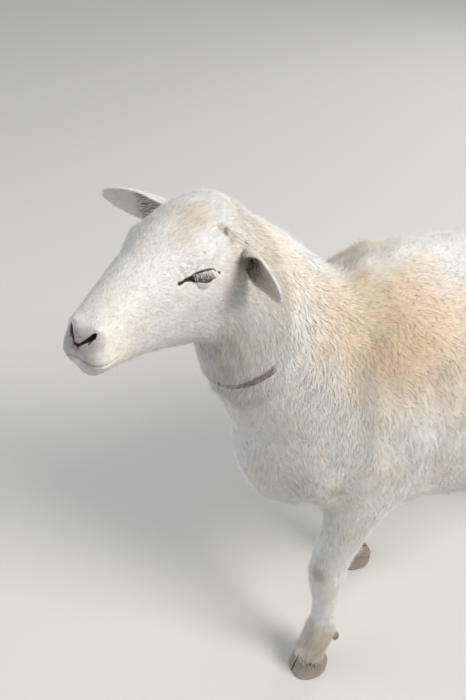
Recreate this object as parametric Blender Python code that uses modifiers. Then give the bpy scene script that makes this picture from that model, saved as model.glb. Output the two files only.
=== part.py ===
"""A standing, short-coated white sheep with a thin collar, life size, as parted solids.

The flesh is modelled whole: lofts and rounded muscle forms are fused into one surface that
reaches the tips of the coat, and thin cuts then part it into head, neck, trunk, tail, legs
and ears. Eyes, hoof claws, dewclaws and the collar are pieces of their own.

Metres. +X is forward along the spine, +Y is the animal's left and +Z is up.
"""

import math

import bmesh
import bpy
import numpy as np
from mathutils import Matrix, Vector

# ---------------------------------------------------------------- driving dimensions
GAP = 0.0004  # clear space between neighbouring solids
FUSE_VOXEL = 0.0055
FLESH_TRIANGLES = 3980

EYE_RADIUS = 0.0145
EYE = Vector((0.101, 0.0485, -0.047))  # in the head's frame

EAR_LENGTH = 0.112
EAR_WIDTH = 0.057
EAR_THICKNESS = 0.0044
EAR_SHARE_AT_CUT = 0.39  # share of the ear's length that stays on the head as its root
EAR_SUNK = -0.12  # where the ear starts inside the head, as a share of its length
EAR_END = 0.995
EAR_SPREAD = 1.25  # half the angle of the crescent section, in radians
EAR_CURL = 0.75  # of the section's depth to its half width at the root
EAR_UNCURL = 0.45  # how much of that is lost at the tip
EAR_DROOP = 0.012  # how far the tip bends back
EAR_WIDEST = 1.15  # above 1, the widest place lies further out
EAR_BLUNTNESS = 0.45  # below 1, the outline is fuller than a sine
# Each ear, in the head's frame: root, where its tip points, where its opening faces.
EARS = {
    "ear_left": ((0.008, 0.046, -0.059), (0.46, 0.89, -0.03), (0.82, -0.36, -0.06)),
    "ear_right": ((0.010, -0.045, -0.039), (0.19, -0.96, 0.13), (0.86, 0.25, -0.36)),
}

COLLAR_CENTRE = Vector((0.373, -0.018, 0.664))
COLLAR_LEAN = math.radians(46)  # of the ring's axis, up from level
COLLAR_WIDTH = 0.011
COLLAR_THICKNESS = 0.003
COLLAR_PROUD = 0.0008  # of the coat

CLAW_LENGTH = 0.060
CLAW_TOE_HEIGHT = 0.043
CLAW_HEEL_HEIGHT = 0.026
CLAW_WIDTH = 0.0265
CLAW_SPLIT = 0.003  # between the two claws of a foot
CLAW_TAPER = 0.20  # how much shorter a claw is at its top
CLAW_NARROWING = 0.04  # how much narrower
CLAW_BEHIND = 0.46  # share of its length behind the foot's middle
CLAW_FULLNESS = 0.62  # below 1, the plan is fuller than a half circle
CLAW_LEVELS = (0.0, 0.12, 0.5, 1.0)
SOLE_TUCK = 0.0015  # how far the sole's edge is drawn in
SOLE_BEHIND_ANKLE = 0.008
DEWCLAW_SIZE = 0.0075
DEWCLAW_SHAPE = Vector((0.90, 0.75, 1.15))
DEWCLAW_APART = 0.013  # from the leg's middle line, to each side
DEWCLAW_DROP = 0.014  # below the fetlock's middle
DEWCLAW_BACK = 0.86  # share of the fetlock's half depth

# The head's frame: its origin is on top of the head between the ears, +X runs to the nose.
POLL = Vector((0.424, -0.050, 0.838))
HEAD_TURN = math.radians(31.6)
HEAD_NOD = math.radians(2.5)
HEAD_TILT = math.radians(2.6)
HEAD = (
    Matrix.Translation(POLL)
    @ Matrix.Rotation(HEAD_TURN, 4, "Z")
    @ Matrix.Rotation(HEAD_NOD, 4, "Y")
    @ Matrix.Rotation(HEAD_TILT, 4, "X")
)

# Trunk sections: forward, half width, top, level of the widest point, bottom.
TRUNK = (
    (-0.468, 0.030, 0.655, 0.595, 0.535),
    (-0.455, 0.066, 0.688, 0.590, 0.500),
    (-0.420, 0.106, 0.712, 0.585, 0.462),
    (-0.360, 0.139, 0.730, 0.578, 0.432),
    (-0.280, 0.165, 0.740, 0.560, 0.394),
    (-0.180, 0.184, 0.739, 0.525, 0.345),
    (-0.060, 0.190, 0.733, 0.508, 0.311),
    (0.060, 0.178, 0.733, 0.505, 0.308),
    (0.160, 0.156, 0.742, 0.515, 0.320),
    (0.240, 0.137, 0.728, 0.515, 0.326),
    (0.310, 0.118, 0.670, 0.505, 0.338),
    (0.365, 0.092, 0.610, 0.490, 0.362),
    (0.398, 0.050, 0.550, 0.475, 0.405),
)

# Neck centreline with half depth and half width, from inside the trunk to inside the head.
NECK = (
    (0.180, 0.000, 0.540, 0.160, 0.125),
    (0.280, -0.002, 0.572, 0.155, 0.115),
    (0.344, -0.010, 0.634, 0.121, 0.098),
    (0.386, -0.024, 0.700, 0.095, 0.079),
    (0.424, -0.034, 0.744, 0.079, 0.065),
    (0.455, -0.026, 0.765, 0.058, 0.048),
)

# Head sections in the head's frame: forward, top, bottom, then half widths at four levels.
HEAD_SECTIONS = (
    (-0.050, -0.055, -0.125, 0.012, 0.030, 0.030, 0.012),
    (-0.025, -0.020, -0.155, 0.028, 0.050, 0.050, 0.024),
    (0.010, 0.000, -0.172, 0.034, 0.058, 0.057, 0.031),
    (0.045, 0.009, -0.180, 0.037, 0.060, 0.058, 0.033),
    (0.080, 0.011, -0.176, 0.038, 0.060, 0.055, 0.032),
    (0.110, 0.006, -0.165, 0.035, 0.057, 0.048, 0.029),
    (0.140, -0.005, -0.151, 0.030, 0.047, 0.042, 0.026),
    (0.175, -0.018, -0.138, 0.026, 0.038, 0.036, 0.024),
    (0.210, -0.034, -0.128, 0.023, 0.034, 0.033, 0.022),
    (0.234, -0.047, -0.121, 0.021, 0.032, 0.033, 0.021),
    (0.250, -0.061, -0.113, 0.017, 0.027, 0.028, 0.016),
    (0.259, -0.077, -0.101, 0.009, 0.014, 0.015, 0.009),
)
HEAD_LEVELS = (0.09, 0.34, 0.64, 0.91)  # share of the head's depth, from the top

# Leg centrelines, from inside the body to inside the hoof: forward of the foot's place,
# up, half size along the body, half size across it.
FORELEG = (
    (-0.080, 0.520, 0.090, 0.054),
    (-0.062, 0.450, 0.070, 0.050),
    (-0.034, 0.385, 0.051, 0.042),
    (-0.016, 0.325, 0.038, 0.034),
    (-0.004, 0.275, 0.032, 0.030),
    (0.000, 0.240, 0.031, 0.031),
    (-0.002, 0.205, 0.026, 0.025),
    (-0.004, 0.165, 0.0210, 0.0195),
    (-0.004, 0.125, 0.0215, 0.0205),
    (-0.004, 0.095, 0.028, 0.028),
    (0.003, 0.066, 0.0245, 0.027),
    (0.012, 0.040, 0.027, 0.029),
    (0.015, 0.014, 0.020, 0.020),
)
HINDLEG = (
    (0.026, 0.600, 0.124, 0.072),
    (0.030, 0.520, 0.126, 0.075),
    (0.032, 0.450, 0.106, 0.064),
    (0.016, 0.385, 0.070, 0.048),
    (-0.024, 0.328, 0.047, 0.036),
    (-0.053, 0.286, 0.037, 0.028),
    (-0.052, 0.245, 0.030, 0.025),
    (-0.044, 0.195, 0.0225, 0.020),
    (-0.038, 0.135, 0.0220, 0.020),
    (-0.036, 0.098, 0.028, 0.026),
    (-0.024, 0.068, 0.024, 0.026),
    (-0.012, 0.040, 0.027, 0.029),
    (-0.008, 0.014, 0.020, 0.020),
)
# Each leg: centreline, forward and left of its top, forward and left of its foot.
LEGS = {
    "leg_front_left": (FORELEG, 0.280, 0.096, 0.280, 0.098),
    "leg_front_right": (FORELEG, 0.275, -0.096, 0.092, -0.080),
    "leg_hind_left": (HINDLEG, -0.330, 0.080, -0.350, 0.098),
    "leg_hind_right": (HINDLEG, -0.330, -0.080, -0.295, -0.096),
}
LEG_TOP = 0.50  # above this level a leg keeps its place under the trunk
HOCK_ROW, FETLOCK_ROW = 5, 9  # in a leg's table
HOCK_SIZES = (0.020, 0.015, 0.034)
HOCK_SHIFT = (-0.020, 0.0, 0.012)  # of the hock's point from the leg's middle line
HOCK_PITCH = -14
# Where the cuts between legs and trunk lie: back and front, then the level of the cut at the
# leg's inner side and, further out, beyond the flank.
LEG_CUTS = {
    "leg_front": (0.135, 0.318, 0.345, 0.490),
    "leg_hind": (-0.430, -0.205, 0.375, 0.510),
}
CUT_INNER_SIDE = 0.036  # from the middle plane
CUT_OUTER_SIDE = 0.260
# Head and neck are parted by planes seen edge-on: forward and up of two points on each.
HEAD_CUT = ((-0.055, 0.10), (0.105, -0.25))  # in the head's frame: behind the poll, throat
NECK_CUT = ((0.225, 0.82), (0.430, 0.46))  # withers, breast
TAIL_CUT = -0.480  # forward
TAIL_LEVELS = (0.30, 0.76)
BEYOND = 0.40  # a cutting box reaches this far past what it cuts

# Nostril slits and the gap between the lips, in the head's frame.
NOSTRIL_CENTRE = (0.249, 0.0165, -0.068)
NOSTRIL_SIZES = (0.012, 0.005, 0.0042)
NOSTRIL_TURN = (0, 34, -32)
MOUTH_OUTLINE = ((0.214, -0.0985), (0.214, -0.0995), (0.285, -0.0890), (0.285, -0.0875))
MOUTH_HALF_WIDTH = 0.06

# How strongly the fused forms are smoothed, as a share, and where.
SMOOTHING_STEPS = 50
FOOT_SOFTNESS = 0.10
FACE_SOFTNESS = 0.16
TAIL_SOFTNESS = 0.10
LEG_FADE = (0.30, 0.10)  # legs lie below the first level, and the body is soft this far above
HEAD_FADE = (0.10, 0.15)  # the same by distance from the poll
FACE_ABOVE = 0.60
# How readily the mesh is coarsened, least at the middle of the face and at the feet.
FACE_MIDDLE = (0.12, 0, -0.08)
FACE_DETAIL = (0.13, 0.12, 0.10)  # fades in beyond the first distance, over the second, least
FOOT_DETAIL = (0.05, 0.35, 0.25)

# Rounded masses that stand out of the lofts: centre, half sizes, turn in degrees about X, Y, Z.
# Those of a pair are given for the left side.
PAIRED_BODY_FORMS = {
    "shoulder": ((0.205, 0.090, 0.545), (0.105, 0.056, 0.175), (6, -12, 0)),
    "point_of_shoulder": ((0.300, 0.078, 0.465), (0.062, 0.048, 0.080), (0, 0, 0)),
    "elbow": ((0.170, 0.100, 0.425), (0.060, 0.040, 0.055), (0, 0, 0)),
    "haunch": ((-0.345, 0.092, 0.560), (0.122, 0.070, 0.145), (8, 10, 0)),
    "stifle": ((-0.248, 0.104, 0.440), (0.056, 0.036, 0.064), (6, 24, 0)),
    "pin_bone": ((-0.425, 0.045, 0.640), (0.045, 0.040, 0.050), (0, 0, 0)),
}
MIDDLE_BODY_FORMS = {
    "breast": ((0.322, 0, 0.430), (0.078, 0.080, 0.090), (0, 0, 0)),
    "udder": ((-0.300, 0, 0.415), (0.066, 0.060, 0.040), (0, 0, 0)),
    "withers": ((0.170, 0, 0.690), (0.110, 0.060, 0.056), (0, 0, 0)),
}
# The same for the head, in its own frame.
PAIRED_FACE_FORMS = {
    "brow": ((0.096, 0.040, -0.034), (0.036, 0.018, 0.017), (0, 10, -14)),
    "cheek": ((0.055, 0.038, -0.115), (0.055, 0.021, 0.050), (0, 12, 0)),
    "cheekbone": ((0.108, 0.044, -0.072), (0.050, 0.013, 0.014), (0, 14, -16)),
    "ear_seat": ((0.014, 0.042, -0.052), (0.026, 0.024, 0.026), (0, 0, 0)),
    "upper_lip": ((0.237, 0.017, -0.089), (0.024, 0.018, 0.020), (0, 18, 0)),
    "nose_wing": ((0.236, 0.015, -0.065), (0.021, 0.014, 0.016), (0, 30, 0)),
}
MIDDLE_FACE_FORMS = {
    "chin": ((0.228, 0, -0.111), (0.027, 0.021, 0.015), (0, 12, 0)),
    "forehead": ((0.055, 0, -0.018), (0.065, 0.043, 0.032), (0, 4, 0)),
}

TAIL = (
    (-0.430, 0.000, 0.672, 0.030, 0.030),
    (-0.472, 0.000, 0.652, 0.024, 0.025),
    (-0.497, 0.000, 0.605, 0.018, 0.021),
    (-0.502, 0.001, 0.545, 0.015, 0.019),
    (-0.500, 0.003, 0.480, 0.013, 0.017),
    (-0.496, 0.005, 0.420, 0.010, 0.013),
    (-0.494, 0.006, 0.392, 0.004, 0.005),
)


# ---------------------------------------------------------------- small tools
def smooth_rows(rows, steps):
    """Rows of a table, filled in between with a Catmull-Rom curve."""
    table = np.array(rows, float)
    padded = np.vstack([2 * table[0] - table[1], table, 2 * table[-1] - table[-2]])
    filled = []
    for i in range(1, len(padded) - 2):
        a, b, c, d = padded[i - 1 : i + 3]
        for t in np.arange(steps) / steps:
            straight = 2 * b + (c - a) * t
            bend = (2 * a - 5 * b + 4 * c - d) * t**2 + (3 * b - a - 3 * c + d) * t**3
            filled.append(0.5 * (straight + bend))
    filled.append(table[-1])
    return np.array(filled)


def new_object(name, bm, collection):
    mesh = bpy.data.meshes.new(name)
    bm.to_mesh(mesh)
    bm.free()
    made = bpy.data.objects.new(name, mesh)
    collection.objects.link(made)
    return made


def loft(name, rings, collection):
    """A closed surface through rings of points. Each end is closed by a strip across its ring,
    which holds for a crescent too; a ring has an even number of points."""
    bm = bmesh.new()
    loops = [[bm.verts.new(p) for p in ring] for ring in rings]
    for lower, upper in zip(loops, loops[1:]):
        for i in range(len(lower)):
            j = (i + 1) % len(lower)
            bm.faces.new((lower[i], lower[j], upper[j], upper[i]))
    last = len(loops[0]) - 1
    for loop in (loops[0], loops[-1]):
        for i in range(last // 2):
            bm.faces.new((loop[i], loop[i + 1], loop[last - 1 - i], loop[last - i]))
    bmesh.ops.recalc_face_normals(bm, faces=bm.faces)
    return new_object(name, bm, collection)


def tube(name, stations, collection, sides=24, steps=5):
    """A tube along a centreline. Its rings lie square to the line, with the width along Y."""
    rows = smooth_rows(stations, steps)
    centres = rows[:, :3]
    tangents = np.gradient(centres, axis=0)
    rings = []
    for centre, tangent, (half_deep, half_wide) in zip(centres, tangents, rows[:, 3:5]):
        along = Vector(tangent).normalized()
        across = Vector((0, 1, 0)) - along.y * along
        across.normalize()
        deep = across.cross(along)
        rings.append(
            [
                Vector(centre) + deep * half_deep * math.cos(t) + across * half_wide * math.sin(t)
                for t in np.linspace(0, 2 * math.pi, sides, endpoint=False)
            ]
        )
    return loft(name, rings, collection)


def rounded(name, centre, half_sizes, collection, turn=(0, 0, 0), frame=None, sides=24):
    """An egg-shaped muscle or bone form: a sphere, stretched and turned (degrees about X, Y, Z)."""
    place = Matrix.Translation(centre)
    for angle, axis in zip(turn, "XYZ"):
        place = place @ Matrix.Rotation(math.radians(angle), 4, axis)
    place = (frame or Matrix()) @ place @ Matrix.Diagonal((*half_sizes, 1))
    bm = bmesh.new()
    bmesh.ops.create_uvsphere(bm, u_segments=sides, v_segments=sides // 2 + 1, radius=1, matrix=place)
    return new_object(name, bm, collection)


def grown(source, distance, collection):
    """A copy of a closed shape with its surface moved out."""
    bm = bmesh.new()
    bm.from_mesh(source.data)
    bm.normal_update()
    shifts = [v.normal * v.calc_shell_factor() * distance for v in bm.verts]
    for v, shift in zip(bm.verts, shifts):
        v.co += shift
    return new_object(source.name + "_grown", bm, collection)


def evaluated(source, name, collection):
    """The object as its modifiers leave it, as a new plain mesh object."""
    bpy.context.view_layer.update()
    graph = bpy.context.evaluated_depsgraph_get()
    mesh = bpy.data.meshes.new_from_object(source.evaluated_get(graph))
    made = bpy.data.objects.new(name, mesh)
    collection.objects.link(made)
    return made


def combine(source, cutter, operation, name, collection):
    """The Boolean of two meshes as a new object; the first is used up."""
    step = source.modifiers.new(operation.lower(), "BOOLEAN")
    step.object = cutter
    step.operation = operation
    made = evaluated(source, name, collection)
    bpy.data.objects.remove(source)
    return made


def copy_of(source, name, collection):
    made = bpy.data.objects.new(name, source.data.copy())
    collection.objects.link(made)
    return made


# ---------------------------------------------------------------- forms of the flesh
def trunk_form(collection):
    rings = []
    for forward, half_width, top, widest, bottom in smooth_rows(TRUNK, 4):
        ring = []
        for t in np.linspace(0, 2 * math.pi, 32, endpoint=False):
            rise = math.sin(t)
            reach = top - widest if rise > 0 else widest - bottom
            ring.append(Vector((forward, half_width * math.cos(t), widest + reach * rise)))
        rings.append(ring)
    return loft("trunk_form", rings, collection)


def head_form(collection):
    """The skull and jaws: sections whose half widths are given at four levels."""
    rings = []
    for row in smooth_rows(HEAD_SECTIONS, 4):
        forward, top, bottom = row[:3]
        depth = top - bottom
        side = [(w, top - level * depth) for w, level in zip(row[3:], HEAD_LEVELS)]
        outline = [(0, top), *side, (0, bottom), *[(-w, z) for w, z in reversed(side)]]
        wrapped = smooth_rows([outline[-1], *outline, outline[0], outline[1]], 4)
        rings.append([HEAD @ Vector((forward, y, z)) for y, z in wrapped[4:44]])
    return loft("head_form", rings, collection)


def leg_line(name):
    """A leg's centreline in place: the foot steps ahead of or behind the leg's top."""
    table, top_forward, top_left, foot_forward, foot_left = LEGS[name]
    placed = []
    for forward, up, half_long, half_wide in table:
        share = min(1, max(0, (LEG_TOP - up) / LEG_TOP))
        lean = (foot_forward - top_forward) * share
        left = top_left + (foot_left - top_left) * share
        placed.append((top_forward + forward + lean, left, up, half_long, half_wide))
    return placed


def rounded_forms(collection):
    """Shoulders, haunches, brows, cheeks, lips and the other rounded masses."""
    for paired, middle, frame in (
        (PAIRED_BODY_FORMS, MIDDLE_BODY_FORMS, None),
        (PAIRED_FACE_FORMS, MIDDLE_FACE_FORMS, HEAD),
    ):
        for name, (centre, half_sizes, turn) in middle.items():
            rounded(name, centre, half_sizes, collection, turn, frame)
        for name, ((x, y, z), half_sizes, (roll, pitch, yaw)) in paired.items():
            for side in (1, -1):
                turn = (side * roll, pitch, side * yaw)
                rounded(name, (x, side * y, z), half_sizes, collection, turn, frame)


def leg_forms(collection):
    for name in LEGS:
        line = leg_line(name)
        tube(name + "_form", line, collection)
        if name.startswith("leg_hind"):
            forward, left, up = line[HOCK_ROW][:3]
            centre = Vector((forward, left, up)) + Vector(HOCK_SHIFT)
            rounded("hock", centre, HOCK_SIZES, collection, (0, HOCK_PITCH, 0))


def fuse(collection, helpers):
    """One smooth surface round all the forms, finest on the head and the feet."""
    bpy.context.view_layer.update()
    bm = bmesh.new()
    for form in collection.objects:
        bm.from_mesh(form.data)
    whole = new_object("flesh_forms", bm, helpers)
    remesh = whole.modifiers.new("fuse", "REMESH")
    remesh.mode = "VOXEL"
    remesh.voxel_size = FUSE_VOXEL
    dense = evaluated(whole, "flesh_dense", helpers)
    soften(dense)
    dense = evaluated(dense, "flesh_soft", helpers)
    weigh(dense)
    thin = dense.modifiers.new("thin", "DECIMATE")
    thin.vertex_group = "coarse"
    thin.vertex_group_factor = 0.00005
    thin.ratio = FLESH_TRIANGLES / (2 * len(dense.data.polygons))
    return evaluated(dense, "flesh", helpers)


def vertex_places(source):
    places = np.empty(len(source.data.vertices) * 3)
    source.data.vertices.foreach_get("co", places)
    return places.reshape(-1, 3)


def group_from(source, name, weights):
    group = source.vertex_groups.new(name=name)
    for index, weight in enumerate(weights):
        group.add([index], float(weight), "REPLACE")


def fading_in(values, start, width, least):
    """`least` up to the start, then growing evenly to 1 over the width."""
    return np.clip((values - start) / width, least, 1)


def soften(source):
    """Rounds the creases where forms meet: strongly on the body, lightly on the face and feet."""
    places = vertex_places(source)
    from_poll = np.linalg.norm(places - np.array(POLL), axis=1)
    ahead_of_poll = (places - np.array(POLL)) @ np.array(HEAD.col[0][:3])
    shares = fading_in(places[:, 2], *LEG_FADE, FOOT_SOFTNESS)
    shares *= fading_in(from_poll, *HEAD_FADE, FACE_SOFTNESS)
    on_face = (ahead_of_poll > 0) & (places[:, 2] > FACE_ABOVE)
    shares = np.where(on_face, FACE_SOFTNESS, shares)
    on_tail = places[:, 0] < TAIL_CUT
    group_from(source, "soft", np.where(on_tail, np.minimum(shares, TAIL_SOFTNESS), shares))
    smooth = source.modifiers.new("smooth", "SMOOTH")
    smooth.vertex_group = "soft"
    smooth.factor = 0.6
    smooth.iterations = SMOOTHING_STEPS


def weigh(source):
    """How readily each part of the surface may be coarsened."""
    places = vertex_places(source)
    from_face = np.linalg.norm(places - np.array(HEAD @ Vector(FACE_MIDDLE)), axis=1)
    weights = fading_in(from_face, *FACE_DETAIL) * fading_in(places[:, 2], *FOOT_DETAIL)
    group_from(source, "coarse", weights)


# ---------------------------------------------------------------- ears, eyes, claws, collar
def ear_frame(name):
    """Local X runs from the root to the tip and local Z out of the ear's back."""
    root, tip_way, opening_way = (Vector(values) for values in EARS[name])
    along = tip_way.normalized()
    back = -(opening_way - opening_way.dot(along) * along).normalized()
    across = back.cross(along)
    frame = Matrix((along, across, back)).transposed().to_4x4()
    frame.translation = root
    return HEAD @ frame


def ear_ring(share, frame):
    """The crescent section of an ear at a share of its length."""
    outward = max(share, 0)
    leaf = math.sin(math.pi * min(1, 0.18 + 0.82 * outward) ** EAR_WIDEST)
    half_width = EAR_WIDTH / 2 * max(leaf, 0.0) ** EAR_BLUNTNESS
    curl = half_width * (EAR_CURL - EAR_UNCURL * outward)
    thickness = EAR_THICKNESS * (1.5 - 0.6 * outward)
    outer, inner = [], []
    for t in np.linspace(-1, 1, 7):
        y = half_width * math.sin(t * EAR_SPREAD) / math.sin(EAR_SPREAD)
        z = curl * (math.cos(t * EAR_SPREAD) - 1) - EAR_DROOP * share**2
        half_thick = thickness / 2 * (1 - 0.75 * t**4)
        outer.append((y, z + half_thick))
        inner.append((y * (1 - 0.10 * t**2), z - half_thick))
    return [frame @ Vector((share * EAR_LENGTH, y, z)) for y, z in outer + inner[::-1]]


def ear(name, start, end, rings, collection, made_name):
    frame = ear_frame(name)
    shares = np.linspace(start, end, rings)
    return loft(made_name, [ear_ring(share, frame) for share in shares], collection)


def eye_place(side):
    return HEAD @ Vector((EYE.x, side * EYE.y, EYE.z))


def ball(name, centre, radius, collection):
    return rounded(name, centre, (radius, radius, radius), collection, sides=14)


def claw_outline(share):
    """One claw's plan, toe forward, inner side along Y = 0; share 0 is the sole, 1 the top."""
    length = CLAW_LENGTH * (1 - CLAW_TAPER * share)
    width = CLAW_WIDTH * (1 - CLAW_NARROWING * share)
    heel = -CLAW_LENGTH * CLAW_BEHIND
    points = []
    for t in np.linspace(0, math.pi, 9):
        bulge = math.sin(t) ** CLAW_FULLNESS
        points.append((heel + length * (1 - math.cos(t)) / 2, width * bulge))
    points.append((heel + length / 2, 0.0))
    return points


def claw_top(x):
    """Height of the slanting top of a claw at a distance ahead of the foot's centre."""
    slope = (CLAW_TOE_HEIGHT - CLAW_HEEL_HEIGHT) / (CLAW_LENGTH * (1 - CLAW_TAPER))
    return CLAW_HEEL_HEIGHT + slope * (x + CLAW_LENGTH * CLAW_BEHIND)


def foot_centre(name):
    """The middle of a foot's sole."""
    ankle = leg_line(name)[-1]
    return Vector((ankle[0] - SOLE_BEHIND_ANKLE, ankle[1], 0))


def claw(name, centre, side, collection):
    rings = []
    for share in CLAW_LEVELS:
        tuck = SOLE_TUCK if share == 0 else 0
        ring = []
        for x, y in claw_outline(share):
            left = side * (CLAW_SPLIT / 2 + max(y - tuck, 0))
            ring.append(centre + Vector((x, left, claw_top(x) * share)))
        rings.append(ring)
    return loft(name, rings, collection)


def dewclaw_place(name, side):
    """Behind the fetlock, to each side of the leg's middle."""
    forward, left, up, half_long = leg_line(name)[FETLOCK_ROW][:4]
    back = forward - half_long * DEWCLAW_BACK
    return Vector((back, left + side * DEWCLAW_APART, up - DEWCLAW_DROP))


def collar_frame():
    frame = Matrix.Rotation(-COLLAR_LEAN, 4, "Y")
    frame.translation = COLLAR_CENTRE
    return frame


def collar_ring(flesh, width, inner, outer, name, collection):
    """A strap that follows the neck's own section, from depth `inner` to depth `outer`."""
    frame = collar_frame()
    sides = 32
    turns = np.linspace(0, 2 * math.pi, sides, endpoint=False)
    ways = [Vector((0, math.cos(t), math.sin(t))) for t in turns]
    reaches = []
    for across in ways:
        way = frame.to_3x3() @ across
        _, place, _, _ = flesh.ray_cast(COLLAR_CENTRE + way * BEYOND, -way)
        reaches.append((place - COLLAR_CENTRE).length)
    reaches = np.array(reaches)
    for _ in range(3):
        reaches = (np.roll(reaches, 1) + 2 * reaches + np.roll(reaches, -1)) / 4
    bm = bmesh.new()
    loops = []
    for x, depth in ((-width / 2, inner), (-width / 2, outer), (width / 2, outer), (width / 2, inner)):
        ring = [Vector((x, 0, 0)) + across * (reach + depth) for across, reach in zip(ways, reaches)]
        loops.append([bm.verts.new(frame @ place) for place in ring])
    for first, second in zip(loops, loops[1:] + loops[:1]):
        for i in range(sides):
            j = (i + 1) % sides
            bm.faces.new((first[i], first[j], second[j], second[i]))
    bmesh.ops.recalc_face_normals(bm, faces=bm.faces)
    return new_object(name, bm, collection)


# ---------------------------------------------------------------- parting the flesh
def hull(name, corners, collection, frame=None):
    """The convex solid over some corners."""
    bm = bmesh.new()
    for corner in corners:
        bm.verts.new((frame or Matrix()) @ Vector(corner))
    made = bmesh.ops.convex_hull(bm, input=bm.verts)
    bmesh.ops.delete(bm, geom=made["geom_interior"], context="VERTS")
    bmesh.ops.dissolve_limit(bm, angle_limit=0.001, verts=bm.verts, edges=bm.edges)
    bmesh.ops.recalc_face_normals(bm, faces=bm.faces)
    return new_object(name, bm, collection)


def leg_region(name, collection):
    """The space that a leg takes below the trunk. Its top slants up and outward."""
    back, front, inner_top, outer_top = LEG_CUTS[name.rsplit("_", 1)[0]]
    line = leg_line(name)
    side = math.copysign(1, line[0][1])
    foot = line[-1][0]
    corners = []
    for left, top in ((CUT_INNER_SIDE, inner_top), (CUT_OUTER_SIDE, outer_top)):
        for edge, reach in ((back, -2 * CLAW_LENGTH), (front, 2 * CLAW_LENGTH)):
            corners.append((edge, side * left, top))
            corners.append((foot + reach, side * (left - CUT_INNER_SIDE / 2), -CLAW_LENGTH))
    return hull(name + "_region", corners, collection)


def slab(name, outline, collection, frame=None):
    """A solid with a given outline, forward and up, that runs right across the animal."""
    corners = [(x, y, z) for x, z in outline for y in (-BEYOND, BEYOND)]
    return hull(name, corners, collection, frame)


def ahead_of(cut):
    """The outline of all that lies ahead of a slanting cut."""
    (top_x, top_z), (low_x, low_z) = cut
    return [(top_x, top_z), (top_x + 2 * BEYOND, top_z), (top_x + 2 * BEYOND, low_z), (low_x, low_z)]


def head_region(collection):
    return slab("head_region", ahead_of(HEAD_CUT), collection, HEAD)


def neck_region(collection):
    return slab("neck_region", ahead_of(NECK_CUT), collection)


def tail_region(collection):
    outline = [(x, z) for x in (TAIL_CUT, TAIL_CUT - BEYOND) for z in TAIL_LEVELS]
    return slab("tail_region", outline, collection)


def foot_region(name, collection):
    """The space under the slanting tops of a foot's claws."""
    centre = foot_centre(name)
    reach = 1.2 * CLAW_LENGTH
    corners = []
    for x in (-reach, reach):
        for y in (-reach, reach):
            corners.append(centre + Vector((x, y, -reach)))
            corners.append(centre + Vector((x, y, claw_top(x))))
    return hull(name + "_foot_region", corners, collection)


def part(source, region, name, collection, helpers):
    """Takes the piece inside the region off the source. Returns the piece and the rest."""
    piece = combine(copy_of(source, name + "_source", helpers), region, "INTERSECT", name, collection)
    wider = grown(region, GAP, helpers)
    rest = combine(source, wider, "DIFFERENCE", source.name, helpers)
    return piece, rest


# ---------------------------------------------------------------- finishing
def keep_largest(made):
    """Leaves a Boolean's main body, without loose crumbs of the mesh."""
    bm = bmesh.new()
    bm.from_mesh(made.data)
    bmesh.ops.remove_doubles(bm, verts=bm.verts, dist=1e-6)
    unseen = set(bm.verts)
    groups = []
    while unseen:
        group = {unseen.pop()}
        edge = list(group)
        while edge:
            near = {e.other_vert(v) for v in edge for e in v.link_edges} - group
            group |= near
            unseen -= near
            edge = list(near)
        groups.append(group)
    groups.sort(key=len)
    for group in groups[:-1]:
        bmesh.ops.delete(bm, geom=list(group), context="VERTS")
    bmesh.ops.dissolve_degenerate(bm, edges=bm.edges, dist=1e-5)
    bmesh.ops.triangulate(bm, faces=bm.faces)
    bm.to_mesh(made.data)
    bm.free()
    return len(groups)


def material(name, colour, roughness):
    made = bpy.data.materials.new(name)
    made.use_nodes = True
    shader = made.node_tree.nodes["Principled BSDF"]
    shader.inputs["Base Color"].default_value = (*colour, 1)
    shader.inputs["Roughness"].default_value = roughness
    shader.inputs["Metallic"].default_value = 0
    return made


# ---------------------------------------------------------------- the animal
def make_flesh(forms, helpers):
    """The whole animal's surface, before anything is cut into it."""
    trunk_form(forms)
    tube("neck_form", NECK, forms)
    head_form(forms)
    leg_forms(forms)
    tube("tail_form", TAIL, forms, sides=16)
    rounded_forms(forms)
    return fuse(forms, helpers)


def fit_ears(flesh, sheep, helpers):
    """Ears as nodes of their own, on short roots that belong to the head."""
    for name in EARS:
        ear(name, EAR_SHARE_AT_CUT, EAR_END, 10, sheep, name)
        cut = EAR_SHARE_AT_CUT - GAP / EAR_LENGTH
        root = ear(name, EAR_SUNK, cut, 4, helpers, name + "_root")
        flesh = combine(flesh, root, "UNION", "flesh", helpers)
    return flesh


def fit_eyes(flesh, sheep, helpers):
    for name, side in (("eye_left", 1), ("eye_right", -1)):
        ball(name, eye_place(side), EYE_RADIUS, sheep)
        socket = ball(name + "_socket", eye_place(side), EYE_RADIUS + GAP, helpers)
        flesh = combine(flesh, socket, "DIFFERENCE", "flesh", helpers)
    return flesh


def open_nose_and_mouth(flesh, helpers):
    """Slit nostrils that slant down to the lip, and the thin line between the lips."""
    for side in (1, -1):
        x, y, z = NOSTRIL_CENTRE
        roll, pitch, yaw = NOSTRIL_TURN
        turn = (roll, pitch, side * yaw)
        nostril = rounded("nostril", (x, side * y, z), NOSTRIL_SIZES, helpers, turn, HEAD, 12)
        flesh = combine(flesh, nostril, "DIFFERENCE", "flesh", helpers)
    sides = (-MOUTH_HALF_WIDTH, MOUTH_HALF_WIDTH)
    mouth = hull("mouth", [(x, y, z) for x, z in MOUTH_OUTLINE for y in sides], helpers, HEAD)
    return combine(flesh, mouth, "DIFFERENCE", "flesh", helpers)


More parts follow.
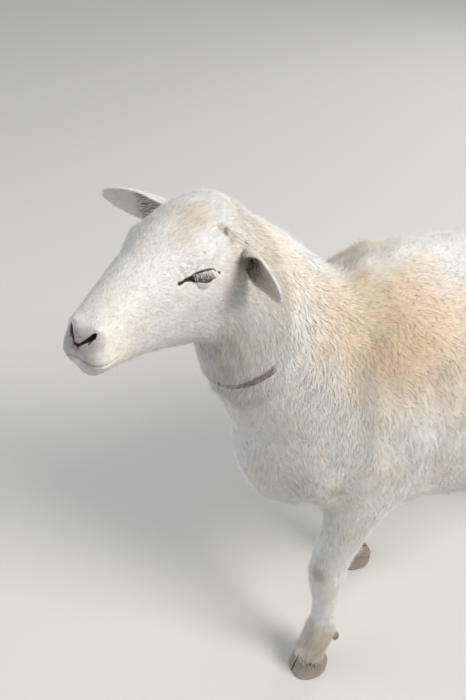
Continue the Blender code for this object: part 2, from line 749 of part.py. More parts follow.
def fit_collar(flesh, sheep, helpers):
    """A thin strap, most of its thickness sunk in a groove of the coat."""
    inner = COLLAR_PROUD - COLLAR_THICKNESS
    collar_ring(flesh, COLLAR_WIDTH, inner, COLLAR_PROUD, "collar", sheep)
    outer = COLLAR_PROUD + COLLAR_WIDTH
    width = COLLAR_WIDTH + 2 * GAP
    groove = collar_ring(flesh, width, inner - GAP, outer, "collar_groove", helpers)
    return combine(flesh, groove, "DIFFERENCE", "flesh", helpers)


def finish_leg(name, leg, sheep, helpers):
    """Cuts a leg off above its claws and gives it claws and dewclaws."""
    wider = grown(foot_region(name, helpers), GAP, helpers)
    leg = combine(leg, wider, "DIFFERENCE", name, sheep)
    outward = 1 if leg_line(name)[0][1] > 0 else -1
    for which, side in (("outer", outward), ("inner", -outward)):
        claw(f"claw_{name[4:]}_{which}", foot_centre(name), side, sheep)
        sizes = DEWCLAW_SHAPE * DEWCLAW_SIZE
        place = dewclaw_place(name, side)
        rounded(f"dewclaw_{name[4:]}_{which}", place, sizes, sheep, sides=8)
        hollow = rounded("hollow", place, sizes + Vector((GAP, GAP, GAP)), helpers, sides=8)
        leg = combine(leg, hollow, "DIFFERENCE", name, sheep)
    leg.name = name


def finish(sheep):
    """Cleans every solid, gives it its material and stands it facing -Y over the origin."""
    materials = {
        "coat": material("cream_coat", (0.80, 0.74, 0.64), 0.8),
        "claw": material("hoof_horn", (0.16, 0.12, 0.09), 0.5),
        "dewclaw": material("dewclaw_horn", (0.13, 0.10, 0.08), 0.5),
        "eye": material("amber_eye", (0.30, 0.16, 0.05), 0.15),
        "collar": material("worn_leather", (0.17, 0.08, 0.05), 0.6),
    }
    turn = Matrix.Rotation(math.radians(-90), 4, "Z")
    corners = []
    for made in sheep.objects:
        keep_largest(made)
        made.data.transform(turn)
        made.data.materials.clear()
        made.data.materials.append(materials.get(made.name.split("_")[0], materials["coat"]))
        corners.extend([v.co.copy() for v in made.data.vertices])
    corners = np.array(corners)
    middle = (corners.min(axis=0) + corners.max(axis=0)) / 2
    middle[2] = corners[:, 2].min()
    for made in sheep.objects:
        made.data.transform(Matrix.Translation(-Vector(middle)))
    print("moved by", -middle, "size", corners.max(axis=0) - corners.min(axis=0))


def main():
    for old in list(bpy.data.objects):
        bpy.data.objects.remove(old)
    sheep = bpy.data.collections.new("shorn_sheep")
    forms = bpy.data.collections.new("forms")
    helpers = bpy.data.collections.new("helpers")
    for collection in (sheep, forms, helpers):
        bpy.context.scene.collection.children.link(collection)
    flesh = make_flesh(forms, helpers)
    flesh = fit_collar(flesh, sheep, helpers)
    flesh = fit_ears(flesh, sheep, helpers)
    flesh = fit_eyes(flesh, sheep, helpers)
    flesh = open_nose_and_mouth(flesh, helpers)
    for name, region in (("head", head_region), ("neck", neck_region), ("tail", tail_region)):
        _, flesh = part(flesh, region(helpers), name, sheep, helpers)
    for name in LEGS:
        leg, flesh = part(flesh, leg_region(name, helpers), name, helpers, helpers)
        finish_leg(name, leg, sheep, helpers)
    copy_of(flesh, "trunk", sheep)
    finish(sheep)
    for collection in (forms, helpers):
        collection.hide_render = True
        for made in list(collection.objects):
            bpy.data.objects.remove(made)
    total = 0
    for made in sheep.objects:
        total += len(made.data.polygons)
        print(made.name, len(made.data.polygons))
    print("triangles", total, "nodes", len(sheep.objects))


if __name__ == "__main__":
    main()
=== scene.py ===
# %% [markdown]
# # A standing short-coated sheep
#
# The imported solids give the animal's true outline, out to the tips of its coat. This lesson
# dresses them. One skin is drawn round the flesh and sinks in by the depth of the coat, eyes,
# lids and lashes are set into the head, and some 300,000 thin tufts grow over it all.
# Everything is in metres. The animal faces -Y, its left side is +X and its soles are at z = 0.

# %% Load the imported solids
import math

import bmesh
import bpy
import numpy as np
from mathutils import Matrix, Vector


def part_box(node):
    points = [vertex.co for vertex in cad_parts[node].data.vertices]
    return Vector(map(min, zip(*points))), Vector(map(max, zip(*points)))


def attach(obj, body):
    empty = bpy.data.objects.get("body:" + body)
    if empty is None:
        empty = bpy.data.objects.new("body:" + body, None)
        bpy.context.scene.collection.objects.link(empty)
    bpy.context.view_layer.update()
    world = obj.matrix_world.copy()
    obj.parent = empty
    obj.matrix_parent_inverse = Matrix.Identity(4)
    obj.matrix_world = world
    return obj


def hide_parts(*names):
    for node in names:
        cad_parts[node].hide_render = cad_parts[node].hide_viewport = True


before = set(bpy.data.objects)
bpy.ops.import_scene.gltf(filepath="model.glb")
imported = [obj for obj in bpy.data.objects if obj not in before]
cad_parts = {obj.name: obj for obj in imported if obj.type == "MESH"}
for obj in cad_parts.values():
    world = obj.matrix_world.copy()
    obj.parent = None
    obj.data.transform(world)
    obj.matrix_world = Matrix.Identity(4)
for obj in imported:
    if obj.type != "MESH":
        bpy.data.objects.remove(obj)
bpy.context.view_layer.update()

# %% [markdown]
# ## Two ways to say where something is
#
# A body is easiest to describe from the animal's own point of view: how far forward, how far
# to its left, how far up. A face is easier still in the head's own frame, because this head is
# turned to the left. Its origin is on top of the head between the ears, X runs to the nose,
# Y to the left ear and Z up.

# %% Places on the body and on the head
ORIGIN_FORWARD = 0.0660  # the scene's origin, forward of the animal's own
POLL = (0.424, -0.050, 0.838)  # forward, left, up
HEAD_TURN, HEAD_NOD, HEAD_TILT = (math.radians(a) for a in (31.6, 2.5, 2.6))

TO_SCENE = Matrix.Translation((0, ORIGIN_FORWARD, 0)) @ Matrix.Rotation(math.radians(-90), 4, "Z")
HEAD = (
    TO_SCENE
    @ Matrix.Translation(POLL)
    @ Matrix.Rotation(HEAD_TURN, 4, "Z")
    @ Matrix.Rotation(HEAD_NOD, 4, "Y")
    @ Matrix.Rotation(HEAD_TILT, 4, "X")
)


def moved(points, matrix, directions=False):
    """An array of points, or of directions, through a matrix."""
    m = np.array(matrix)
    turned = np.asarray(points, float) @ m[:3, :3].T
    return turned if directions else turned + m[:3, 3]


print("head at", tuple(round(v, 3) for v in HEAD.translation))

# %% [markdown]
# ## Small helpers
#
# Colours are written as sRGB hex values, as a paint chart gives them, and shaders work in
# linear light, so one function turns one into the other. A second adds any shader node with
# its settings and links. Several pieces below are rings of points joined by faces, so that is
# done in one place. Smooth random values come from a sum of sine waves, which is quick over a
# million points and gives the same result at each run.

# %% Helpers for colours, nodes and meshes
def linear(hex_colour):
    values = [int(hex_colour[i : i + 2], 16) / 255 for i in (0, 2, 4)]
    return tuple(v / 12.92 if v <= 0.04045 else ((v + 0.055) / 1.055) ** 2.4 for v in values) + (1,)


def add(tree, kind, inputs=None, **settings):
    """A node with its settings. An input is a value, or the output socket of another node."""
    node = tree.nodes.new(kind)
    for name, value in settings.items():
        setattr(node, name, value)
    for name, value in (inputs or {}).items():
        if isinstance(value, bpy.types.NodeSocket):
            tree.links.new(value, node.inputs[name])
        else:
            node.inputs[name].default_value = value
    return node


def new_material(name, hex_colour, roughness):
    """A material with its node tree and its shader."""
    made = bpy.data.materials.new(name)
    made.use_nodes = True
    shader = made.node_tree.nodes["Principled BSDF"]
    shader.inputs["Base Color"].default_value = linear(hex_colour)
    shader.inputs["Roughness"].default_value = roughness
    return made, made.node_tree, shader


def add_relief(tree, shader, height, strength, distance):
    """The values of a socket stand out as fine bumps, as high as the distance."""
    inputs = {"Height": height, "Strength": strength, "Distance": distance}
    bump = add(tree, "ShaderNodeBump", inputs)
    tree.links.new(bump.outputs["Normal"], shader.inputs["Normal"])


def new_object(name, mesh, material=None):
    made = bpy.data.objects.new(name, mesh)
    bpy.context.scene.collection.objects.link(made)
    if material:
        mesh.materials.append(material)
    return made


def mesh_from(name, points, faces):
    mesh = bpy.data.meshes.new(name)
    mesh.from_pydata([tuple(p) for p in points], [], [tuple(f) for f in faces])
    mesh.update()
    return mesh


def as_plain_mesh(source, name):
    """The mesh that the object's modifiers make, on its own."""
    bpy.context.view_layer.update()
    graph = bpy.context.evaluated_depsgraph_get()
    mesh = bpy.data.meshes.new_from_object(source.evaluated_get(graph))
    mesh.name = name
    return mesh


def places_of(mesh):
    values = np.empty(len(mesh.vertices) * 3, np.float32)
    mesh.vertices.foreach_get("co", values)
    return values.reshape(-1, 3).astype(float)


def normals_of(mesh):
    values = np.empty(len(mesh.vertices) * 3, np.float32)
    mesh.vertex_normals.foreach_get("vector", values)
    return values.reshape(-1, 3).astype(float)


def put_places(mesh, places):
    mesh.vertices.foreach_set("co", places.astype(np.float32).ravel())
    mesh.update()


def put_values(mesh, name, values):
    """Writes one value for each point of the mesh, for its material to read."""
    attribute = mesh.attributes.new(name, "FLOAT", "POINT")
    attribute.data.foreach_set("value", np.ascontiguousarray(values, np.float32))


def joined(meshes, name):
    """Several meshes as one, their point attributes kept."""
    bm = bmesh.new()
    for mesh in meshes:
        bm.from_mesh(mesh)
    made = bpy.data.meshes.new(name)
    bm.to_mesh(made)
    bm.free()
    return made


def smooth_outside(mesh):
    """All faces turned outward and shaded smoothly."""
    bm = bmesh.new()
    bm.from_mesh(mesh)
    bmesh.ops.recalc_face_normals(bm, faces=bm.faces)
    bm.to_mesh(mesh)
    bm.free()
    mesh.polygons.foreach_set("use_smooth", np.ones(len(mesh.polygons), bool))
    return mesh


def ring_faces(rings, size, closed=False):
    """Faces between rings of so many points each. Closed joins the last ring to the first."""
    faces = []
    for i in range(rings if closed else rings - 1):
        k = (i + 1) % rings
        for j in range(size):
            m = (j + 1) % size
            faces.append((i * size + j, i * size + m, k * size + m, k * size + j))
    return faces


# %% Helpers for smooth values
def ramp(values, low, high):
    """0 below low, 1 above high, and a smooth step between."""
    t = np.clip((np.asarray(values, float) - low) / (high - low), 0, 1)
    return t * t * (3 - 2 * t)


def ripple(points, wavelength, seed, count=14):
    """Smooth random values over space, mostly from -1 to 1."""
    rng = np.random.default_rng(seed)
    ways = rng.normal(size=(count, 3))
    ways /= np.linalg.norm(ways, axis=1, keepdims=True)
    lengths = wavelength * rng.uniform(0.7, 1.6, count)
    phases = rng.uniform(0, 2 * math.pi, count)
    angles = points @ (ways * (2 * math.pi / lengths[:, None])).T + phases
    return np.sin(angles).sum(axis=1) / math.sqrt(count)


def bump_at(values, middle, width):
    """1 at the middle, falling off smoothly on both sides."""
    return np.exp(-(((values - middle) / width) ** 2))


def unit(vectors):
    return vectors / np.maximum(np.linalg.norm(vectors, axis=-1, keepdims=True), 1e-9)


# %% [markdown]
# ## Camera, floor and light
#
# The camera stands above the animal's left shoulder and looks down on it. The light is that of
# a plain studio: one large soft panel for the form, weaker ones from the front and from behind,
# and a pale even surround.

# %% Camera
CAMERA_PLACE = (0.8478, -0.7270, 1.3260)
CAMERA_LEVEL_WAY = (-0.9136, 0.4067)
CAMERA_DOWN = math.radians(36.8)
CAMERA_ROLL = 0.055
FOCAL_SHARE = 886 / 700  # focal length as a share of the picture's long side

camera = bpy.data.objects.new("camera", bpy.data.cameras.new("camera"))
bpy.context.scene.collection.objects.link(camera)
camera.data.sensor_width = 36
camera.data.lens = FOCAL_SHARE * camera.data.sensor_width
camera.data.clip_start = 0.02
way = Vector((*(v * math.cos(CAMERA_DOWN) for v in CAMERA_LEVEL_WAY), -math.sin(CAMERA_DOWN)))
camera.location = CAMERA_PLACE
camera.rotation_mode = "QUATERNION"
aim = way.to_track_quat("-Z", "Y").to_matrix() @ Matrix.Rotation(CAMERA_ROLL, 3, "Z")
camera.rotation_quaternion = aim.to_quaternion()
bpy.context.scene.camera = camera
print("camera lens", round(camera.data.lens, 2), "mm")

# %% Floor and light
bpy.context.scene.view_settings.view_transform = "Standard"
FLOOR_HALF = 30.0

corners = [(x * FLOOR_HALF, y * FLOOR_HALF, 0) for x, y in ((-1, -1), (1, -1), (1, 1), (-1, 1))]
floor_mesh = mesh_from("floor", corners, [(0, 1, 2, 3)])
floor = new_object("floor", floor_mesh, new_material("pale_floor", "CBC8C2", 0.9)[0])

world = bpy.data.worlds.new("pale_surround")
world.use_nodes = True
background = world.node_tree.nodes["Background"]
background.inputs["Color"].default_value = linear("E6EAEE")
background.inputs["Strength"].default_value = 0.60
bpy.context.scene.world = world


def panel(name, place, target, size, watts, hex_colour):
    light = bpy.data.lights.new(name, "AREA")
    light.shape = "SQUARE"
    light.size = size
    light.energy = watts
    light.color = linear(hex_colour)[:3]
    made = bpy.data.objects.new(name, light)
    bpy.context.scene.collection.objects.link(made)
    made.location = place
    made.rotation_euler = (Vector(target) - Vector(place)).to_track_quat("-Z", "Y").to_euler()


panel("key_panel", (1.9, 0.9, 2.8), (0, -0.1, 0.5), 1.3, 104, "FFFBF6")
panel("fill_panel", (-0.6, -2.9, 1.9), (0, -0.2, 0.6), 2.4, 32, "E8F0FF")
panel("back_panel", (-1.8, 2.6, 2.2), (0, 0.1, 0.5), 2.4, 44, "F6F8FF")

# %% [markdown]
# ## How the coat lies
#
# Hair keeps close to the direction in which an animal walks: it runs back from the nose and
# down the legs. A few places are listed below, each with the way its hair points, how far
# the hair tips stand above the skin and how long the hair is. Every other point takes a
# mean of them, weighted by nearness, so the coat turns smoothly from one to the next.

# %% Combing table
# Place (forward, left, up), lie of the hair (forward, left, up), height of the tips in mm,
# length of the hair in mm. Each row stands for both sides of the animal.
BODY_COMBING = (
    ((0.40, 0.05, 0.83), (-0.8, 0.2, -0.3), 4.3, 15),  # behind the poll
    ((0.34, 0.03, 0.80), (-0.8, 0.3, -0.4), 5.8, 19),  # crest
    ((0.38, 0.08, 0.72), (-0.35, 0.1, -0.9), 4.3, 17),  # upper neck
    ((0.45, 0.02, 0.68), (0.0, 0.1, -1.0), 3.6, 15),  # throat
    ((0.33, 0.11, 0.64), (-0.25, 0.1, -0.95), 5.8, 20),  # lower neck
    ((0.43, 0.03, 0.56), (0.0, 0.05, -1.0), 5, 18),  # front of the neck
    ((0.41, 0.02, 0.45), (-0.1, 0.0, -1.0), 5.8, 19),  # breast
    ((0.36, 0.09, 0.45), (-0.3, 0.1, -0.9), 5.8, 19),
    ((0.33, 0.05, 0.36), (-0.7, 0.1, -0.6), 5.8, 18),  # under the breast
    ((0.24, 0.02, 0.74), (-0.9, 0.3, -0.1), 7.2, 20),  # withers
    ((0.26, 0.12, 0.64), (-0.6, 0.2, -0.7), 7.2, 20),
    ((0.22, 0.15, 0.52), (-0.45, 0.1, -0.9), 6.5, 19),  # shoulder
    ((0.27, 0.13, 0.42), (-0.2, 0.1, -1.0), 5, 16),
    ((0.06, 0.02, 0.74), (-1.0, 0.25, -0.05), 7.2, 20),  # back
    ((0.05, 0.14, 0.67), (-0.8, 0.3, -0.5), 7.2, 20),
    ((0.04, 0.19, 0.50), (-0.7, 0.0, -0.7), 7.2, 20),  # ribs
    ((0.04, 0.12, 0.34), (-0.9, -0.2, -0.3), 6.5, 19),
    ((0.10, 0.00, 0.31), (-1.0, 0.0, -0.1), 5.8, 18),  # under the chest
    ((-0.15, 0.02, 0.745), (-1.0, 0.25, 0.0), 7.2, 20),  # loin
    ((-0.15, 0.15, 0.66), (-0.85, 0.2, -0.5), 7.2, 20),
    ((-0.15, 0.19, 0.50), (-0.8, 0.0, -0.6), 7.2, 20),  # flank
    ((-0.15, 0.10, 0.34), (-0.9, -0.1, -0.1), 5.8, 18),
    ((-0.15, 0.00, 0.32), (-1.0, 0.0, 0.0), 5, 16),  # belly
    ((-0.36, 0.03, 0.74), (-1.0, 0.2, -0.2), 7.2, 19),  # rump
    ((-0.38, 0.12, 0.66), (-0.6, 0.3, -0.7), 7.2, 19),
    ((-0.34, 0.16, 0.52), (-0.3, 0.1, -0.9), 6.5, 18),  # thigh
    ((-0.45, 0.06, 0.60), (-0.3, 0.1, -0.9), 5.8, 17),
    ((-0.30, 0.02, 0.42), (-0.3, 0.0, -0.7), 3.6, 12),  # between the thighs
    ((0.20, 0.13, 0.38), (-0.2, 0.1, -1.0), 3.6, 12),  # upper foreleg
    ((0.20, 0.09, 0.31), (-0.1, 0.0, -1.0), 2.5, 10),
    ((0.20, 0.09, 0.22), (-0.05, 0.0, -1.0), 1.9, 8),  # knee
    ((0.20, 0.09, 0.14), (-0.1, 0.0, -1.0), 1.7, 8),
    ((0.20, 0.09, 0.08), (0.2, 0.0, -1.0), 2.5, 11),  # pastern
    ((0.27, 0.10, 0.045), (0.5, 0.3, -1.0), 4.5, 16),  # over the hoof
    ((0.10, 0.08, 0.045), (0.5, 0.3, -1.0), 4.5, 16),
    ((-0.35, 0.10, 0.045), (0.5, 0.3, -1.0), 4.5, 16),
    ((-0.36, 0.13, 0.40), (-0.3, 0.0, -0.9), 4.3, 13),  # above the hock
    ((-0.38, 0.10, 0.29), (-0.2, 0.0, -1.0), 2.5, 9),
    ((-0.38, 0.10, 0.16), (-0.05, 0.0, -1.0), 1.7, 8),
    ((-0.36, 0.10, 0.06), (0.3, 0.0, -1.0), 2, 10),
    ((-0.48, 0.02, 0.63), (-0.4, 0.1, -0.9), 4.3, 18),  # dock
    ((-0.50, 0.02, 0.52), (-0.1, 0.05, -1.0), 3.6, 20),  # tail
    ((-0.50, 0.01, 0.42), (0.0, 0.0, -1.0), 2.9, 20),
)
# The same in the head's frame.
HEAD_COMBING = (
    ((0.255, 0.008, -0.075), (-0.6, 0.3, 0.6), 0.3, 2.0),  # bare nose
    ((0.248, 0.020, -0.100), (-0.7, 0.3, -0.5), 0.6, 3.0),  # lips
    ((0.235, 0.030, -0.080), (-0.9, 0.2, -0.2), 1.0, 4.0),
    ((0.225, 0.010, -0.045), (-1.0, 0.3, 0.2), 1.1, 4.5),  # nose bridge
    ((0.180, 0.010, -0.022), (-1.0, 0.4, 0.3), 1.5, 6.0),
    ((0.190, 0.035, -0.075), (-0.9, 0.1, -0.4), 1.6, 6.0),
    ((0.190, 0.020, -0.125), (-0.9, 0.1, -0.5), 2.0, 8.0),  # chin and jaw
    ((0.140, 0.000, -0.003), (-1.0, 0.2, 0.4), 2.0, 8.0),
    ((0.130, 0.045, -0.060), (-0.9, 0.3, -0.2), 1.6, 6.0),
    ((0.090, 0.010, 0.010), (-0.9, 0.5, 0.3), 2.5, 10.0),  # forehead
    ((0.100, 0.055, -0.025), (-0.8, 0.4, 0.3), 1.6, 7.0),  # brow
    ((0.095, 0.060, -0.070), (-0.8, 0.2, -0.6), 1.6, 6.0),
    ((0.100, 0.045, -0.120), (-0.8, 0.1, -0.6), 2.4, 9.0),  # cheek
    ((0.050, 0.055, -0.100), (-0.7, 0.1, -0.7), 2.8, 11.0),
    ((0.060, 0.020, -0.180), (-0.7, 0.0, -0.7), 3.0, 12.0),  # throat
    ((0.030, 0.010, 0.005), (-1.0, 0.3, 0.1), 3.5, 12.0),  # poll
    ((0.020, 0.055, -0.040), (-0.5, 0.8, -0.2), 2.4, 9.0),  # round the ear's root
    ((-0.020, 0.040, -0.060), (-0.8, 0.3, -0.5), 4.0, 13.0),
)
NEARNESS = 5  # a higher power keeps each row to its own place


def combing_rows():
    rows = []
    for table, matrix in ((BODY_COMBING, TO_SCENE), (HEAD_COMBING, HEAD)):
        for (x, y, z), (a, b, c), height, length in table:
            for side in (1, -1):
                place = moved([(x, side * y, z)], matrix)[0]
                lie = unit(moved([(a, side * b, c)], matrix, directions=True))[0]
                rows.append((*place, *lie, height / 1000, length / 1000))
    return np.array(rows)


COMBING = combing_rows()


def combed(places, chunk=60000):
    """For each place: the way its hair lies, the height of the tips and the hair's length."""
    parts = []
    for start in range(0, len(places), chunk):
        some = places[start : start + chunk]
        apart = np.linalg.norm(some[:, None, :] - COMBING[None, :, :3], axis=2) + 0.004
        weights = apart**-NEARNESS
        weights /= weights.sum(axis=1, keepdims=True)
        parts.append(weights @ COMBING[:, 3:])
    parts = np.vstack(parts)
    return unit(parts[:, :3]), parts[:, 3], parts[:, 4]


print("combing rows", len(COMBING))

# %% [markdown]
# ## One skin
#
# The solids are parted by thin cuts, and a live animal isn't. Copies of all the flesh are
# pushed out by half a millimetre, so that they overlap, and a voxel remesh draws one closed
# surface round them. Smoothing rounds off the flat facets, and a decimation that spares the
# head brings it down to a light mesh. The ears and the nostrils are made finer later, so what
# the solids have of them is pressed flat and relaxed away here.

# %% Where the ears are
EARS = ("ear_left", "ear_right")
EAR_LENGTH = 0.112
EAR_LEVEL = 0.019  # along the ear, where it leaves the head
EAR_WIDTH = 0.0555
EAR_THICKNESS = 0.0030
# Each ear, in the head's frame: root, where its tip points, where its opening faces.
EAR_AIMS = {
    "ear_left": ((0.008, 0.046, -0.059), (0.46, 0.89, -0.03), (0.82, -0.36, -0.06)),
    "ear_right": ((0.010, -0.045, -0.039), (0.19, -0.96, 0.13), (0.86, 0.25, -0.36)),
}
EAR_STEPS = 46
EAR_SPREAD = 1.25  # half the angle of the crescent section, in radians
EAR_CURL = (0.75, 0.45)  # depth of the crescent by its half width at the root, and its loss to the tip
EAR_DROOP = 0.012  # how far the tip bends down
LEAF_START, LEAF_BEND, LEAF_FULLNESS = 0.18, 1.15, 0.45


def leaf(share):
    """The ear's width along it, by share of its length, as a share of the widest place."""
    turn = np.pi * np.clip(LEAF_START + (1 - LEAF_START) * share, 0, 1) ** LEAF_BEND
    return np.maximum(np.sin(turn), 0) ** LEAF_FULLNESS


def ear_frame(name):
    """X runs from the root to the tip and Z out of the ear's back."""
    root, tip_way, opening_way = (Vector(values) for values in EAR_AIMS[name])
    along = tip_way.normalized()
    back = -(opening_way - opening_way.dot(along) * along).normalized()
    made = Matrix((along, back.cross(along), back)).transposed().to_4x4()
    made.translation = root
    return HEAD @ made


# %% Fuse the flesh into one surface
FLESH_KINDS = ("head", "neck", "trunk", "tail", "leg")
FLESH = sorted(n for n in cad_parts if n.split("_")[0] in FLESH_KINDS)
SEAM_OVERLAP = 0.0005
SKIN_CELL = 0.0020
SKIN_SMOOTHING = 44
SKIN_TRIANGLES = 120000
HEAD_MIDDLE = (0.13, 0.0, -0.08)  # in the head's frame
HEAD_REACH = (0.13, 0.26)  # full detail within the first distance, the body's beyond the second
ROOT_MARGIN, ROOT_HALF_THICKNESS = 0.003, 0.006  # what counts as an ear's root
ROOT_LEFT = 0.04  # the share of the root's length that stays
EAR_ROOT_ROWS, EAR_ROOT_ROUNDS = 4, 60
NOSTRIL_MIDDLE = (0.249, 0.0165, -0.068)
NOSTRIL_REACH = 0.0135
NOSTRIL_ROUNDS = 160


def overlapping_copy(names, name):
    bm = bmesh.new()
    for node in names:
        bm.from_mesh(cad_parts[node].data)
    bmesh.ops.remove_doubles(bm, verts=bm.verts, dist=1e-6)
    bm.normal_update()
    shifts = [v.normal * SEAM_OVERLAP for v in bm.verts]
    for v, shift in zip(bm.verts, shifts):
        v.co += shift
    mesh = bpy.data.meshes.new(name)
    bm.to_mesh(mesh)
    bm.free()
    return new_object(name, mesh)


def set_group(source, name, weights):
    group = source.vertex_groups.new(name=name)
    steps = np.round(np.clip(weights, 0, 1) * 40) / 40
    for value in np.unique(steps):
        if value > 0:
            group.add(np.flatnonzero(steps == value).tolist(), float(value), "REPLACE")


def fused_skin():
    rough = overlapping_copy([*FLESH, "eye_left", "eye_right"], "flesh")
    remesh = rough.modifiers.new("fuse", "REMESH")
    remesh.mode = "VOXEL"
    remesh.voxel_size = SKIN_CELL
    smooth = rough.modifiers.new("smooth", "SMOOTH")
    smooth.factor = 0.5
    smooth.iterations = SKIN_SMOOTHING
    dense = new_object("dense", as_plain_mesh(rough, "dense"))
    bpy.data.objects.remove(rough)
    print("fused quads", len(dense.data.polygons))
    from_head = np.linalg.norm(places_of(dense.data) - moved([HEAD_MIDDLE], HEAD)[0], axis=1)
    set_group(dense, "coarse", 0.04 + 0.96 * ramp(from_head, *HEAD_REACH))
    thin = dense.modifiers.new("thin", "DECIMATE")
    thin.vertex_group = "coarse"
    thin.vertex_group_factor = 0.00002
    thin.ratio = min(1, SKIN_TRIANGLES / (2 * len(dense.data.polygons)))
    mesh = as_plain_mesh(dense, "skin")
    bpy.data.objects.remove(dense)
    return mesh


def smooth_area(mesh, chosen, wider, rounds):
    """Relaxes the chosen points, and so many rows of points round them."""
    bm = bmesh.new()
    bm.from_mesh(mesh)
    bm.verts.ensure_lookup_table()
    soft = {bm.verts[i] for i in np.flatnonzero(chosen)}
    for _ in range(wider):
        soft |= {edge.other_vert(v) for v in soft for edge in v.link_edges}
    axes = {"use_axis_x": True, "use_axis_y": True, "use_axis_z": True}
    for _ in range(rounds):
        bmesh.ops.smooth_vert(bm, verts=list(soft), factor=0.5, **axes)
    bm.to_mesh(mesh)
    bm.free()
    mesh.update()


def level_ear_roots(mesh):
    """Presses the solids' thin ear roots flat on the head, since whole ears are made below."""
    places = places_of(mesh)
    changed = np.zeros(len(places), bool)
    for name in EARS:
        place = ear_frame(name)
        local = moved(places, place.inverted())
        share = local[:, 0] / EAR_LENGTH
        half_width = EAR_WIDTH / 2 * leaf(share)
        sine = local[:, 1] * math.sin(EAR_SPREAD) / np.maximum(half_width, 1e-6)
        curl = half_width * (EAR_CURL[0] - EAR_CURL[1] * share)
        middle = curl * (np.sqrt(1 - np.clip(sine, -1, 1) ** 2) - 1) - EAR_DROOP * share**2
        over = (local[:, 0] > EAR_LEVEL) & (local[:, 0] < EAR_LENGTH / 2)
        over &= np.abs(local[:, 1]) < half_width + ROOT_MARGIN
        over &= np.abs(local[:, 2] - middle) < ROOT_HALF_THICKNESS
        local[over, 0] = EAR_LEVEL + ROOT_LEFT * (local[over, 0] - EAR_LEVEL)
        places = moved(local, place)
        changed |= over
    put_places(mesh, places)
    smooth_area(mesh, changed, EAR_ROOT_ROWS, EAR_ROOT_ROUNDS)


def close_nostrils(mesh):
    """Relaxes the solid's plain nostril slits away, since finer ones are shaped below."""
    local = moved(places_of(mesh), HEAD.inverted())
    local[:, 1] = np.abs(local[:, 1])
    near = np.linalg.norm(local - NOSTRIL_MIDDLE, axis=1) < NOSTRIL_REACH
    smooth_area(mesh, near, 1, NOSTRIL_ROUNDS)


skin_mesh = fused_skin()
level_ear_roots(skin_mesh)
close_nostrils(skin_mesh)
print("skin triangles", len(skin_mesh.polygons))

# %% [markdown]
# ## The face
#
# The fused surface has the head's proportions, but a face lives from small forms: lids that
# wrap the eyeball, comma-shaped nostrils, a lip line. The mesh is cut finer just there, and
# each form then moves the points near it by a rule written in the head's frame. Moving points
# keeps the skin in one closed piece, which cutting and bridging would not.

# %% Where the face's small forms are, in the head's frame
EYE_RADIUS = (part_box("eye_left")[1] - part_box("eye_left")[0]).z / 2
EYE_OUTWARD = (0.12, 0.97, 0.20)
EYE_FORWARD = (0.0488, -0.0105, 0.0118)  # from the outer corner to the inner one
OPENING_HALF = 0.0186
OPENING_UP = 0.0066
OPENING_DOWN = 0.0062
LID = 0.0010  # thickness over the eyeball
LID_BLEND = 0.0034  # the larger, the softer the lid runs out on the cheek
LID_FOLD = 0.0062  # from the upper lid's edge to the fold above it
LID_FOLD_DEPTH, LID_PUFF = 0.0011, 0.0008
LID_REACH = 0.032  # how far from the eye's middle the lids run out
BEHIND_EYE = 0.86  # the skin inside the opening, as a share of the eyeball's radius

# Lines on the face: places in the head's frame, with half the line's width where it has one.
NOSTRIL = (
    (0.2484, 0.0212, -0.0586, 0.0014),
    (0.2502, 0.0191, -0.0606, 0.0029),
    (0.2520, 0.0165, -0.0625, 0.0026),
    (0.2560, 0.0090, -0.0680, 0.0016),
    (0.2580, 0.0040, -0.0720, 0.0014),
    (0.2590, 0.0000, -0.0750, 0.0018),
)
NOSTRIL_BRANCH = (
    (0.2515, 0.0170, -0.0640, 0.0016),
    (0.2530, 0.0145, -0.0690, 0.0011),
    (0.2534, 0.0135, -0.0708, 0.0006),
)
NOSTRIL_DEPTH = 0.0060
UPPER_MARGIN, LOWER_MARGIN = 0.0004, 0.0020  # width of the lids' black edges
FOLD_DEPTH = 0.0008
LIP_LINE = (
    (0.2600, 0.0000, -0.0900),
    (0.2590, 0.0105, -0.0915),
    (0.2525, 0.0240, -0.0962),
    (0.2389, 0.0327, -0.0958),
    (0.2310, 0.0345, -0.0950),
)
LIP_DEPTH = 0.0022
GROOVE_OF_LIP = 0.0012  # depth of the groove from the nose down the upper lip
TEAR_GROOVE = (
    (0.1150, 0.0540, -0.0455, 0.0040),
    (0.1190, 0.0525, -0.0440, 0.0036),
    (0.1240, 0.0495, -0.0430, 0.0027),
    (0.1290, 0.0480, -0.0440, 0.0016),
    (0.1340, 0.0460, -0.0455, 0.0021),
)
OUTER_CORNER = (
    (0.0890, 0.0610, -0.0545, 0.0036),
    (0.0830, 0.0605, -0.0540, 0.0030),
    (0.0750, 0.0600, -0.0545, 0.0012),
)
SCUR_CREASE = (
    (0.0520, 0.0380, -0.0090, 0.0014),
    (0.0426, 0.0455, -0.0203, 0.0034),
    (0.0360, 0.0547, -0.0393, 0.0018),
)
# Folds of loose skin in front of the eye and above it.
BROW_FOLDS = (
    ((0.130, 0.036, -0.022), (0.128, 0.043, -0.030), (0.127, 0.049, -0.039)),
    ((0.139, 0.035, -0.026), (0.137, 0.042, -0.034), (0.134, 0.047, -0.043)),
    ((0.121, 0.045, -0.024), (0.112, 0.051, -0.0305), (0.098, 0.054, -0.0300)),
)
